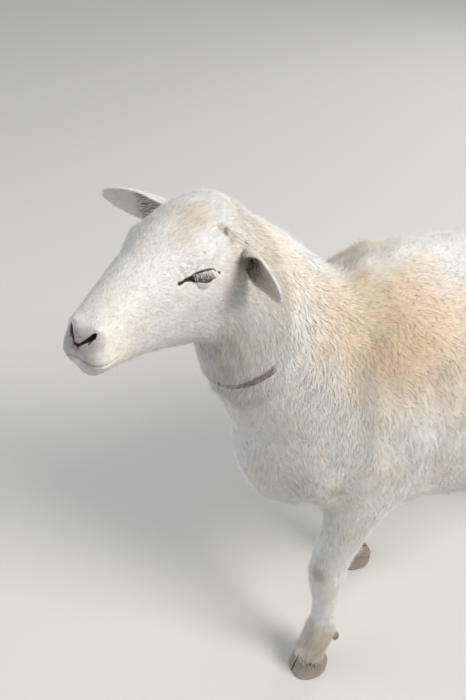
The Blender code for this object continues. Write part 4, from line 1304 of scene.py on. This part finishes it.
# %% Lashes with Geometry Nodes
LASH_LENGTH = 0.0108
LASH_COUNT = 80
LASH_FREE_CORNER = 18  # lashes left out at the inner corner
LASH_HALF_WIDTH = 0.026  # as a share of the length
LASH_BEND = 0.24
LASH_SEED = 5
UNEVENNESS = 0.5  # how much shorter the shortest blade is than the longest


def white_hair_material():
    made, tree, shader = new_material("white_lash_hair", "F3EFE6", 0.45)
    position = add(tree, "ShaderNodeTexCoord").outputs["Object"]
    noise = add(tree, "ShaderNodeTexNoise", {"Vector": position, "Scale": 500.0})
    colour = mixed(tree, noise.outputs["Fac"], linear("D8CFC0"), linear("FFFDF8"))
    tree.links.new(colour, shader.inputs["Base Color"])
    return made


LASH_HAIR = white_hair_material()


def blade_mesh(name, half_width, bend):
    """A thin three-sided blade of length 1 along Z that curves towards -Y."""
    points, faces = [], []
    rows = ((0.0, 1.0), (0.35, 0.85), (0.7, 0.5))
    for up, share in rows:
        for turn in (90, 210, 330):
            x, y = math.cos(math.radians(turn)), math.sin(math.radians(turn))
            points.append((x * half_width * share, y * half_width * share - bend * up**2, up))
    points.append((0, -bend, 1.0))
    for i in range(len(rows) - 1):
        for j in range(3):
            k = (j + 1) % 3
            faces.append((i * 3 + j, i * 3 + k, i * 3 + 3 + k, i * 3 + 3 + j))
    tip = len(points) - 1
    faces.extend((tip - 3 + j, tip - 3 + (j + 1) % 3, tip) for j in range(3))
    faces.append((2, 1, 0))
    return mesh_from(name, points, faces)


def bristle_tree():
    """Geometry Nodes: blades on the points of a mesh, each turned to the point's own direction."""
    tree = bpy.data.node_groups.new("bristles", "GeometryNodeTree")
    face = tree.interface
    kinds = {"Blade": "Object", "Length": "Float", "Unevenness": "Float", "Seed": "Int"}
    for name, kind in {"Geometry": "Geometry", **kinds, "Material": "Material"}.items():
        face.new_socket(name, in_out="INPUT", socket_type="NodeSocket" + kind)
    face.new_socket("Geometry", in_out="OUTPUT", socket_type="NodeSocketGeometry")
    given = tree.nodes.new("NodeGroupInput").outputs

    def vector_of_point(name):
        named = add(tree, "GeometryNodeInputNamedAttribute", {"Name": name}, data_type="FLOAT_VECTOR")
        return named.outputs["Attribute"]

    inputs = {"Vector": vector_of_point("way")}
    turn = add(tree, "FunctionNodeAlignRotationToVector", inputs, axis="Z").outputs["Rotation"]
    inputs = {"Rotation": turn, "Vector": vector_of_point("droop")}
    turn = add(tree, "FunctionNodeAlignRotationToVector", inputs, axis="Y", pivot_axis="Z")
    blade = add(tree, "GeometryNodeObjectInfo", {"Object": given["Blade"]}).outputs["Geometry"]
    inputs = {0: 1.0, 1: given["Unevenness"]}
    low = add(tree, "ShaderNodeMath", inputs, operation="SUBTRACT").outputs[0]
    inputs = {"Seed": given["Seed"], 2: low, 3: 1.0}
    random = add(tree, "FunctionNodeRandomValue", inputs, data_type="FLOAT")
    inputs = {0: random.outputs[1], 1: given["Length"]}
    size = add(tree, "ShaderNodeMath", inputs, operation="MULTIPLY").outputs[0]
    inputs = {"Points": given["Geometry"], "Instance": blade}
    inputs.update({"Rotation": turn.outputs["Rotation"], "Scale": size})
    placed = add(tree, "GeometryNodeInstanceOnPoints", inputs)
    real = add(tree, "GeometryNodeRealizeInstances", {"Geometry": placed.outputs["Instances"]})
    inputs = {"Geometry": real.outputs["Geometry"], "Material": given["Material"]}
    painted = add(tree, "GeometryNodeSetMaterial", inputs)
    out = tree.nodes.new("NodeGroupOutput")
    tree.links.new(painted.outputs["Geometry"], out.inputs["Geometry"])
    return tree


BRISTLES = bristle_tree()


def bristles(name, roots, ways, droops, blade, length, unevenness, seed, material):
    """A plain mesh of blades that stand on the roots, made by the tree above."""
    mesh = mesh_from(name + "_roots", roots, [])
    for label, values in (("way", ways), ("droop", droops)):
        attribute = mesh.attributes.new(label, "FLOAT_VECTOR", "POINT")
        attribute.data.foreach_set("vector", np.array(values, np.float32).ravel())
    carrier = new_object(name + "_roots", mesh)
    modifier = carrier.modifiers.new("bristles", "NODES")
    modifier.node_group = BRISTLES
    values = {"Blade": blade, "Length": length, "Unevenness": unevenness, "Seed": seed}
    values["Material"] = material
    for socket in BRISTLES.interface.items_tree:
        if socket.in_out == "INPUT" and socket.name in values:
            modifier[socket.identifier] = values[socket.name]
    plain = as_plain_mesh(carrier, name)
    bpy.data.objects.remove(carrier)
    return new_object(name, plain)


def lash_places(side):
    """Two rows of roots along the upper lid, with the way each lash points and its droop."""
    place = eye_frame(side)
    turn_only = place.to_3x3()
    rng = np.random.default_rng(LASH_SEED)
    roots, ways, droops = [], [], []
    line = lid_edge(side, LASH_COUNT, upper_only=True)[LASH_FREE_CORNER:-2]
    for row in (0, 1):
        for point in line:
            aside = 0.30 * point.x / OPENING_HALF + rng.normal(0, 0.22)
            down = -0.85 + rng.normal(0, 0.16) - 0.25 * row
            shift = Vector((rng.normal(0, 0.0009), -0.0007 - 0.0004 * row, 0.0009))
            roots.append(place @ (point + shift))
            ways.append(turn_only @ Vector((aside, down, 0.75)).normalized())
            droops.append(turn_only @ Vector((0, 1, 0)))
    return roots, ways, droops


blade = new_object("lash_blade", blade_mesh("lash_blade", LASH_HALF_WIDTH, LASH_BEND))
for name, side in (("lashes_left", 1), ("lashes_right", -1)):
    finish = (blade, LASH_LENGTH, UNEVENNESS, LASH_SEED, LASH_HAIR)
    made = bristles(name, *lash_places(side), *finish)
    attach(made, "root")
    print(name, len(made.data.polygons), "faces")
bpy.data.objects.remove(blade)

# %% Whiskers on chin and lips
WHISKER_LENGTH = 0.014
WHISKER_HALF_WIDTH = 0.011  # as a share of the length
WHISKER_BEND = 0.12
WHISKER_COUNT = 22
WHISKER_SEED = 9


def whisker_roots(rng):
    """Random points of the skin round the chin and the lips, with the way each whisker points."""
    places, normals = places_of(skin.data), normals_of(skin.data)
    local = moved(places, HEAD.inverted())
    ways = moved(normals, HEAD.inverted(), directions=True)
    near = (local[:, 0] > 0.200) & (local[:, 0] < 0.252) & (local[:, 2] < -0.094)
    near &= ways[:, 2] < -0.1
    chosen = rng.choice(np.flatnonzero(near), WHISKER_COUNT, replace=False)
    leaning = ways[chosen] + rng.normal(0, 0.25, (WHISKER_COUNT, 3)) + np.array((0.2, 0, -0.5))
    return places[chosen] - normals[chosen] * 0.0006, unit(moved(leaning, HEAD, directions=True))


rng = np.random.default_rng(WHISKER_SEED)
roots, ways = whisker_roots(rng)
droops = np.tile((0.0, 0.0, 1.0), (WHISKER_COUNT, 1))
blade = new_object("whisker_blade", blade_mesh("whisker_blade", WHISKER_HALF_WIDTH, WHISKER_BEND))
finish = (blade, WHISKER_LENGTH, UNEVENNESS, WHISKER_SEED, LASH_HAIR)
made = bristles("whiskers", roots, ways, droops, *finish)
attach(made, "root")
bpy.data.objects.remove(blade)
print("whiskers", WHISKER_COUNT)

# %% [markdown]
# ## Hooves
#
# The claws and dewclaws have the right shape in the solids, so they stay and get horn's own
# finish: keratin that grows down from the hairline in fine rings, dark with tan streaks, worn
# dull and dusty towards the ground.

# %% Horn
HORN_RING = 0.0016  # from one growth ring to the next
DUSTY_BELOW = 0.045


def horn_material():
    made, tree, shader = new_material("hoof_keratin", "4A3B30", 0.55)
    position = add(tree, "ShaderNodeTexCoord").outputs["Object"]
    inputs = {0: position, 1: (1.0, 1.0, 0.16)}
    stretched = add(tree, "ShaderNodeVectorMath", inputs, operation="MULTIPLY").outputs["Vector"]
    streaks = add(tree, "ShaderNodeTexNoise", {"Vector": stretched, "Scale": 260.0, "Detail": 3.0})
    colour = mixed(tree, streaks.outputs["Fac"], linear("544A42"), linear("9C8D7D"))
    dust = add(tree, "ShaderNodeTexNoise", {"Vector": position, "Scale": 60.0, "Detail": 4.0})
    level = add(tree, "ShaderNodeSeparateXYZ", {0: position}).outputs["Z"]
    inputs = {"Value": level, "From Min": DUSTY_BELOW, "From Max": 0.0, "To Max": 0.9}
    low = add(tree, "ShaderNodeMapRange", inputs)
    inputs = {0: low.outputs["Result"], 1: dust.outputs["Fac"]}
    share = add(tree, "ShaderNodeMath", inputs, operation="MULTIPLY").outputs[0]
    colour = mixed(tree, share, colour, linear("B3A797"))
    tree.links.new(colour, shader.inputs["Base Color"])
    inputs = {"Vector": position, "Scale": 0.32 / HORN_RING, "Distortion": 1.6}
    inputs.update({"Detail": 2.0, "Detail Scale": 0.4})
    rings = add(tree, "ShaderNodeTexWave", inputs, wave_type="BANDS", bands_direction="Z")
    add_relief(tree, shader, rings.outputs["Fac"], 0.35, 0.0004)
    return made


HORN = horn_material()
for name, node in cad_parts.items():
    if name.split("_")[0] in ("claw", "dewclaw"):
        node.data.materials.clear()
        node.data.materials.append(HORN)

# %% [markdown]
# ## Collar
#
# A plain strap of vegetable-tanned leather, nine millimetres wide, brown and dry from years on
# a neck. The solid gives the line that it takes round the neck; here it gets rounded edges,
# a finer bend and a grain of small creases.

# %% Collar
STRAP_HALF_WIDTH = 0.0044
STRAP_THICKNESS = 0.0030
STRAP_STEPS, STRAP_SIDES = 128, 20
STRAP_WINDOW = 0.12  # the solid is read within this angle, in radians
STRAP_SMOOTHING = 40
STRAP_SUNK = 0.0115  # how far the coat covers it at the crest


def strap_frame():
    ahead = Vector(COLLAR_AXIS)
    across = Vector((1, 0, 0))
    up = ahead.cross(across).normalized()
    made = Matrix((across, up, ahead)).transposed().to_4x4()
    made.translation = COLLAR_CENTRE
    return made


def strap_reach():
    """The solid's outer radius at even angles round its own middle."""
    places = moved(places_of(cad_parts["collar"].data), strap_frame().inverted())
    angles = np.arctan2(places[:, 1], places[:, 0])
    radii = np.hypot(places[:, 0], places[:, 1])
    turns = np.linspace(-math.pi, math.pi, STRAP_STEPS, endpoint=False)
    reach = []
    for turn in turns:
        apart = np.abs((angles - turn + math.pi) % (2 * math.pi) - math.pi)
        reach.append(radii[apart < STRAP_WINDOW].max())
    for _ in range(STRAP_SMOOTHING):
        reach = (np.roll(reach, 1) + 2 * np.array(reach) + np.roll(reach, -1)) / 4
    return turns, reach


def strap_mesh():
    """A section with round corners, swept round the neck and sunk in the coat of the crest."""
    place = strap_frame()
    turns, reach = strap_reach()
    profile = []
    for t in np.linspace(0, 2 * math.pi, STRAP_SIDES, endpoint=False):
        x = math.copysign(abs(math.cos(t)) ** 0.35, math.cos(t)) * STRAP_HALF_WIDTH
        y = math.copysign(abs(math.sin(t)) ** 0.6, math.sin(t)) * STRAP_THICKNESS / 2
        profile.append((x, y))
    points = []
    for turn, radius in zip(turns, reach):
        out_way = place.to_3x3() @ Vector((math.cos(turn), math.sin(turn), 0))
        for along, out in profile:
            r = radius - STRAP_THICKNESS / 2 + out
            point = place @ Vector((r * math.cos(turn), r * math.sin(turn), along))
            sunk = STRAP_SUNK * float(under_coat(np.array([point]))[0])
            points.append(point - out_way * sunk)
    faces = ring_faces(STRAP_STEPS, STRAP_SIDES, closed=True)
    return smooth_outside(mesh_from("strap", points, faces))


def leather_material():
    made, tree, shader = new_material("worn_tanned_leather", "6A544A", 0.65)
    position = add(tree, "ShaderNodeTexCoord").outputs["Object"]
    wear = add(tree, "ShaderNodeTexNoise", {"Vector": position, "Scale": 70.0, "Detail": 4.0})
    colour = mixed(tree, wear.outputs["Fac"], linear("40322D"), linear("8D7A70"))
    tree.links.new(colour, shader.inputs["Base Color"])
    inputs = {"Vector": position, "Scale": 900.0}
    grain = add(tree, "ShaderNodeTexVoronoi", inputs, feature="DISTANCE_TO_EDGE")
    add_relief(tree, shader, grain.outputs["Distance"], 0.5, 0.0004)
    return made


strap = new_object("collar_strap", strap_mesh(), leather_material())
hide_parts("collar")
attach(strap, "root")

# %% [markdown]
# ## The coat
#
# Hair is far too fine to model one by one, so each tuft stands for a small lock: a thin
# three-sided spike that starts in the skin and lies along its neighbours, as the combing table
# says. Particle hair would be lost in an export, so the tufts are plain mesh, computed as whole
# arrays, which takes seconds where a loop would take minutes. Each tuft's shading leans on the
# skin below it, which gives the coat the soft, even glow of real wool.

# %% Roots of the hair
COAT_SEED = 11
BODY, FACE, LEGS, EAR = range(4)
COARSER = 1.0
FULL_SPACING = {BODY: 0.00245, FACE: 0.00145, LEGS: 0.0021, EAR: 0.0016}
SPACING = {zone: COARSER * value for zone, value in FULL_SPACING.items()}
FACE_BACK = -0.035  # in the head's frame, where the face's short hair gives way to the neck's
FACE_REACH = 0.22
LEG_TOP = 0.42
LEG_HAIR = 0.0046  # hair that stands lower than this is leg hair


def skin_triangles():
    """Corner points, corner loops and flat-map places of the skin's triangles."""
    mesh = skin.data
    mesh.calc_loop_triangles()
    count = len(mesh.loop_triangles)
    corners = np.empty(count * 3, np.int32)
    mesh.loop_triangles.foreach_get("vertices", corners)
    loops = np.empty(count * 3, np.int32)
    mesh.loop_triangles.foreach_get("loops", loops)
    flat = np.empty(len(mesh.loops) * 2, np.float32)
    mesh.uv_layers["OFBake"].data.foreach_get("uv", flat)
    return corners.reshape(-1, 3), loops.reshape(-1, 3), flat.reshape(-1, 2)


def point_values(label):
    values = np.empty(len(skin.data.vertices), np.float32)
    skin.data.attributes[label].data.foreach_get("value", values)
    return values


SKIN_PLACES = places_of(skin.data)
SKIN_NORMALS = normals_of(skin.data)
SKIN_CORNERS, SKIN_LOOPS, SKIN_FLAT = skin_triangles()
SKIN_SHARES = np.stack([point_values(n) for n in ("inner_ear", "deep_ear_skin_and_shade", "dark_skin_and_painted_shade")], axis=1)
FLESH_VERTICES = len(skin_mesh.vertices)  # those after them belong to the ears


def zone_of_triangles():
    middles = SKIN_PLACES[SKIN_CORNERS].mean(axis=1)
    local = moved(middles, HEAD.inverted())
    on_face = local[:, 0] + 0.35 * local[:, 2] > FACE_BACK
    on_face &= np.linalg.norm(local - HEAD_MIDDLE, axis=1) < FACE_REACH
    on_leg = (combed(middles)[1] < LEG_HAIR) & (middles[:, 2] < LEG_TOP)
    zone = np.where(on_face, FACE, np.where(on_leg, LEGS, BODY))
    return np.where(SKIN_CORNERS.min(axis=1) >= FLESH_VERTICES, EAR, zone)


ZONES = zone_of_triangles()


def scatter(zone, seed):
    """Even random roots: places, normals, flat-map places and the skin's three shares there."""
    rng = np.random.default_rng(seed)
    chosen = np.flatnonzero(ZONES == zone)
    a, b, c = (SKIN_PLACES[SKIN_CORNERS[chosen, i]] for i in range(3))
    areas = np.linalg.norm(np.cross(b - a, c - a), axis=1) / 2
    reached = np.cumsum(areas) / SPACING[zone] ** 2
    count = int(reached[-1])
    steps = np.searchsorted(reached, np.arange(count) + rng.random(count))
    picks = chosen[np.minimum(steps, len(chosen) - 1)]
    r, s = rng.random(count), rng.random(count)
    flip = r + s > 1
    r[flip], s[flip] = 1 - r[flip], 1 - s[flip]
    corner_shares = np.stack((1 - r - s, r, s), axis=1)[:, :, None]
    corners = SKIN_CORNERS[picks]
    places = (SKIN_PLACES[corners] * corner_shares).sum(axis=1)
    normals = unit((SKIN_NORMALS[corners] * corner_shares).sum(axis=1))
    flat = (SKIN_FLAT[SKIN_LOOPS[picks]] * corner_shares).sum(axis=1)
    shares = (SKIN_SHARES[corners] * corner_shares).sum(axis=1)
    return places, normals, flat, shares


print("triangles by zone", np.bincount(ZONES))

# %% The shape of a tuft
PATCH = 0.0015  # half the size of a tuft's patch on the flat map
SECTION = np.array(((-1.0, 0.0), (1.0, 0.0), (0.0, 0.8)))  # across, out of the skin
ROOT_SUNK = 0.0005
# A few tufts stand further out, by this share of the height of the others.
STRAY_SHARE, STRAY_RISE = 0.09, 0.75
SPIKE_FACES = ((0, 1, 3), (1, 2, 3), (2, 0, 3), (0, 2, 1))
SPIKE_FLAT = np.array(((-1, -1), (1, -1), (0, -0.5), (0, 1)))
LOCK_SIZE = 0.011
LOCK_GATHER = 0.0010
LONG_HAIR = 0.015  # hair so long gathers in locks in full
WIDE_RUFFLE, SMALL_RUFFLE = 0.055, 0.017  # sizes of the patches in which the hair turns together
SMALL_SHARE = 0.6


def combed_along(places, normals, lie, coarse, fine, rng):
    """The lie of the hair in the skin's own plane, ruffled by smooth and by random turns."""
    flow = coarse * ripple(places, WIDE_RUFFLE, COAT_SEED + 1)
    flow += SMALL_SHARE * coarse * ripple(places, SMALL_RUFFLE, COAT_SEED + 2)
    turn = flow + fine * rng.normal(size=len(places))
    along = unit(lie - (lie * normals).sum(axis=1, keepdims=True) * normals)
    across = np.cross(normals, along)
    return along * np.cos(turn)[:, None] + across * np.sin(turn)[:, None]


def spikes(roots, normals, along, rise, length, width, softness):
    """The four points of every tuft and the direction that each is shaded by.

    Softness 1 shades a tuft as the skin below it, 0 as its own three sides.
    """
    across = np.cross(normals, along)
    gather = LOCK_GATHER * ripple(roots, LOCK_SIZE, COAT_SEED + 3) * np.clip(length / LONG_HAIR, 0, 1)
    level = np.sqrt(np.maximum(length**2 - rise**2, (0.3 * length) ** 2))
    points, shading = [], []
    for x, y in SECTION:
        side = across * x + normals * y
        points.append(roots - normals * ROOT_SUNK + side * width[:, None])
        shading.append(unit(normals * softness + side * (1 - softness)))
    tip = roots + along * level[:, None] + across * gather[:, None]
    points.append(tip + normals * rise[:, None])
    shading.append(normals)
    return np.stack(points, axis=1), np.stack(shading, axis=1)


# %% Tufts as meshes
MOST_TRIANGLES = 196000


def coat_piece(name, points, shading, flat, tones, material):
    """One mesh of many tufts with their patches on the flat map and their tones."""
    count, size = points.shape[:2]
    pattern = np.array(SPIKE_FACES)
    loops = (pattern.ravel()[None, :] + (np.arange(count) * size)[:, None]).ravel()
    mesh = bpy.data.meshes.new(name)
    mesh.vertices.add(count * size)
    mesh.vertices.foreach_set("co", points.astype(np.float32).ravel())
    mesh.loops.add(len(loops))
    mesh.loops.foreach_set("vertex_index", loops.astype(np.int32))
    mesh.polygons.add(len(loops) // 3)
    mesh.polygons.foreach_set("loop_start", np.arange(0, len(loops), 3, dtype=np.int32))
    mesh.update(calc_edges=True)
    patches = flat[:, None, :] + (SPIKE_FLAT * PATCH)[pattern.ravel()][None, :, :]
    layer = mesh.uv_layers.new(name="OFBake")
    layer.data.foreach_set("uv", patches.astype(np.float32).ravel())
    put_values(mesh, "tone", np.repeat(tones, size))
    put_values(mesh, "tip", np.tile((0, 0, 0, 1), count))
    mesh.polygons.foreach_set("use_smooth", np.ones(len(mesh.polygons), bool))
    mesh.normals_split_custom_set_from_vertices(shading.reshape(-1, 3).astype(np.float32))
    made = new_object(name, mesh, material)
    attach(made, "root")


def in_pieces(name, points, shading, flat, tones, material):
    """The tufts in pieces that each stay under the triangle limit, split from front to back."""
    order = np.argsort(points[:, 0, 1])
    pieces = math.ceil(len(order) * len(SPIKE_FACES) / MOST_TRIANGLES)
    for number, part in enumerate(np.array_split(order, pieces), 1):
        label = name if pieces == 1 else f"{name}_{number}"
        coat_piece(label, points[part], shading[part], flat[part], tones[part], material)
    print(name, len(points), "tufts in", pieces, "pieces")


def coat_material(name, root_shade, roughness):
    """Hair of a white sheep: the shared markings, painted darker towards the root as shade, each tuft
    a little off.
    """
    made, tree, shader = new_material(name, IVORY, roughness)
    group = tree.nodes.new("ShaderNodeGroup")
    group.node_tree = MARKINGS
    tone = add(tree, "ShaderNodeAttribute", attribute_name="tone").outputs["Fac"]
    tip = add(tree, "ShaderNodeAttribute", attribute_name="tip").outputs["Fac"]
    # Painted shade: the colour falls to root_shade at the root of each tuft, where the coat shades
    # itself.
    depth = add(tree, "ShaderNodeMapRange", {"Value": tip, "To Min": root_shade, "To Max": 1.0})
    inputs = {0: tone, 1: depth.outputs["Result"]}
    value = add(tree, "ShaderNodeMath", inputs, operation="MULTIPLY").outputs[0]
    inputs = {0: group.outputs["Colour"], "Scale": value}
    colour = add(tree, "ShaderNodeVectorMath", inputs, operation="SCALE")
    tree.links.new(colour.outputs["Vector"], shader.inputs["Base Color"])
    shader.inputs["Sheen Weight"].default_value = 0.12
    shader.inputs["Sheen Roughness"].default_value = 0.5
    shader.inputs["Specular IOR Level"].default_value = 0.25
    return made


# For each zone: the size of a patch of one tone, and how much it darkens, as a share of the contrast.
CLUMPS = {BODY: (0.014, 0.25), FACE: (0.0036, 0.42), LEGS: (0.008, 0.4), EAR: (0.014, 0.25)}


RISE_RANGE = (0.45, 1.12)  # of a single tuft, as shares of the rule's values
LENGTH_RANGE = (0.7, 1.2)
WIDTH_RANGE = (0.7, 1.3)
SHORTER_OVER_DARK = 0.6  # how much shorter a face tuft is whose tip would cover places painted dark, as bare skin and as shade
MOST_COVERED = 0.55  # with more darkness than this under its middle, it's left out


def grow(name, zone, width, coarse, fine, softness, contrast, rule, material):
    """A coat over one zone. The rule may change the hair's lie and size, and thin it out.

    Width is half a tuft's, in metres. Coarse and fine ruffle the hair over large and small
    patches, in radians. Contrast is how much darker the darkest tuft of a patch is than its
    lightest.
    """
    rng = np.random.default_rng(COAT_SEED + 10 * zone)
    roots, normals, flat, shares = scatter(zone, COAT_SEED + zone)
    lie, height, length = combed(roots)
    lie, height, length, kept = rule(roots, shares, lie, height, length, rng)
    along = combed_along(roots, normals, lie, coarse, fine, rng)
    count = len(roots)
    stray = rng.random(count) < STRAY_SHARE
    rise = height * (rng.uniform(*RISE_RANGE, count) + STRAY_RISE * stray)
    length = length * rng.uniform(*LENGTH_RANGE, count)
    if zone == FACE:
        length *= 1 - SHORTER_OVER_DARK * darkness(roots + along * length[:, None])
        kept = kept & (darkness(roots + along * (length / 2)[:, None]) < MOST_COVERED)
    widths = COARSER * width * rng.uniform(*WIDTH_RANGE, count)
    points, shading = spikes(roots, normals, along, rise, length, widths, softness)
    clump_size, clump_share = CLUMPS[zone]
    clumps = np.maximum(0, 1 + ripple(roots, clump_size, COAT_SEED + 4))
    tones = 1 - contrast * (rng.random(count) ** 2 + clump_share * clumps)
    in_pieces(name, points[kept], shading[kept], flat[kept], tones[kept], material)


# %% Body coat
STRAP_SIDE = 0.0042
WOOL_SHORTNESS = 0.72


def body_rule(roots, shares, lie, height, length, rng):
    """Short and flat beside the bare strap, none under it."""
    away = np.abs(beside_collar(roots))
    pressed = pressed_by_strap(roots)
    bare = (away < STRAP_SIDE) & (under_coat(roots) < 0.5)
    over_strap = under_coat(roots) * (1 - ramp(away, 0.006, 0.024))
    height = height * (1 - 0.6 * pressed + 0.35 * over_strap)
    length = length * WOOL_SHORTNESS * (1 - 0.35 * pressed + 0.25 * over_strap)
    return lie, height, length, ~bare


# The second value is the painted shade at the roots of the tufts.
WOOL = coat_material("short_wool_coat", 0.90, 0.85)
grow("body_coat", BODY, 0.00048, 0.42, 0.34, 0.78, 0.12, body_rule, WOOL)

# %% Hair of the face, the legs and the ears
# The second values are the painted shade at the roots, stronger on the face.
HAIR = coat_material("short_flat_hair", 0.92, 0.75)
FACE_HAIR = coat_material("fine_face_hair", 0.80, 0.75)
EAR_HAIR = (0.0013, 0.0065)  # height and length outside
EAR_INNER_HAIR = (0.0009, 0.0045)
EAR_ROOT_HAIR = (0.0060, 0.0150)  # the long hair in the opening's root


def face_rule(roots, shares, lie, height, length, rng):
    """Shorter at the edge of the places of eyes, nose and lips painted dark as bare skin and as shade,
    and none on them.
    """
    dark = shares[:, 2]
    edge = 1 - 0.5 * ramp(dark, 0.0, 0.4)
    return lie, height * edge, length * edge, rng.random(len(roots)) > ramp(dark, 0.25, 0.7)


def leg_rule(roots, shares, lie, height, length, rng):
    return lie, height, length, np.ones(len(roots), bool)


def ear_rule(roots, shares, lie, height, length, rng):
    """From root to tip, shorter and thinner sown inside, long in the opening's root."""
    ways = np.array([ear_frame(n).col[0][:3] for n in EARS])
    middles = np.array([ear_frame(n) @ Vector((EAR_LENGTH / 2, 0, 0)) for n in EARS])
    nearest = np.linalg.norm(roots[:, None] - middles[None], axis=2).argmin(axis=1)
    inner, deep = shares[:, 0], shares[:, 1]
    sizes = [out + (inside - out) * inner for out, inside in zip(EAR_HAIR, EAR_INNER_HAIR)]
    tall = (rng.random(len(roots)) < 0.30 * deep) & (deep > 0.25)
    height, length = (np.where(tall, far, near) for far, near in zip(EAR_ROOT_HAIR, sizes))
    kept = tall | (rng.random(len(roots)) > 0.72 * inner + 0.25 * deep)
    return ways[nearest], height, length, kept


grow("face_hair", FACE, 0.00036, 0.22, 0.24, 0.46, 0.22, face_rule, FACE_HAIR)
grow("leg_hair", LEGS, 0.00046, 0.16, 0.24, 0.62, 0.12, leg_rule, HAIR)
grow("ear_hair", EAR, 0.00029, 0.0, 0.22, 0.20, 0.10, ear_rule, HAIR)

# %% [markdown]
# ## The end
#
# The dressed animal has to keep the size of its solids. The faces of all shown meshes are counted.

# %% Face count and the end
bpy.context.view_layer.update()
shown = [o for o in bpy.data.objects if o.type == "MESH" and not o.hide_render]
print("faces in all", sum(len(o.data.polygons) for o in shown))
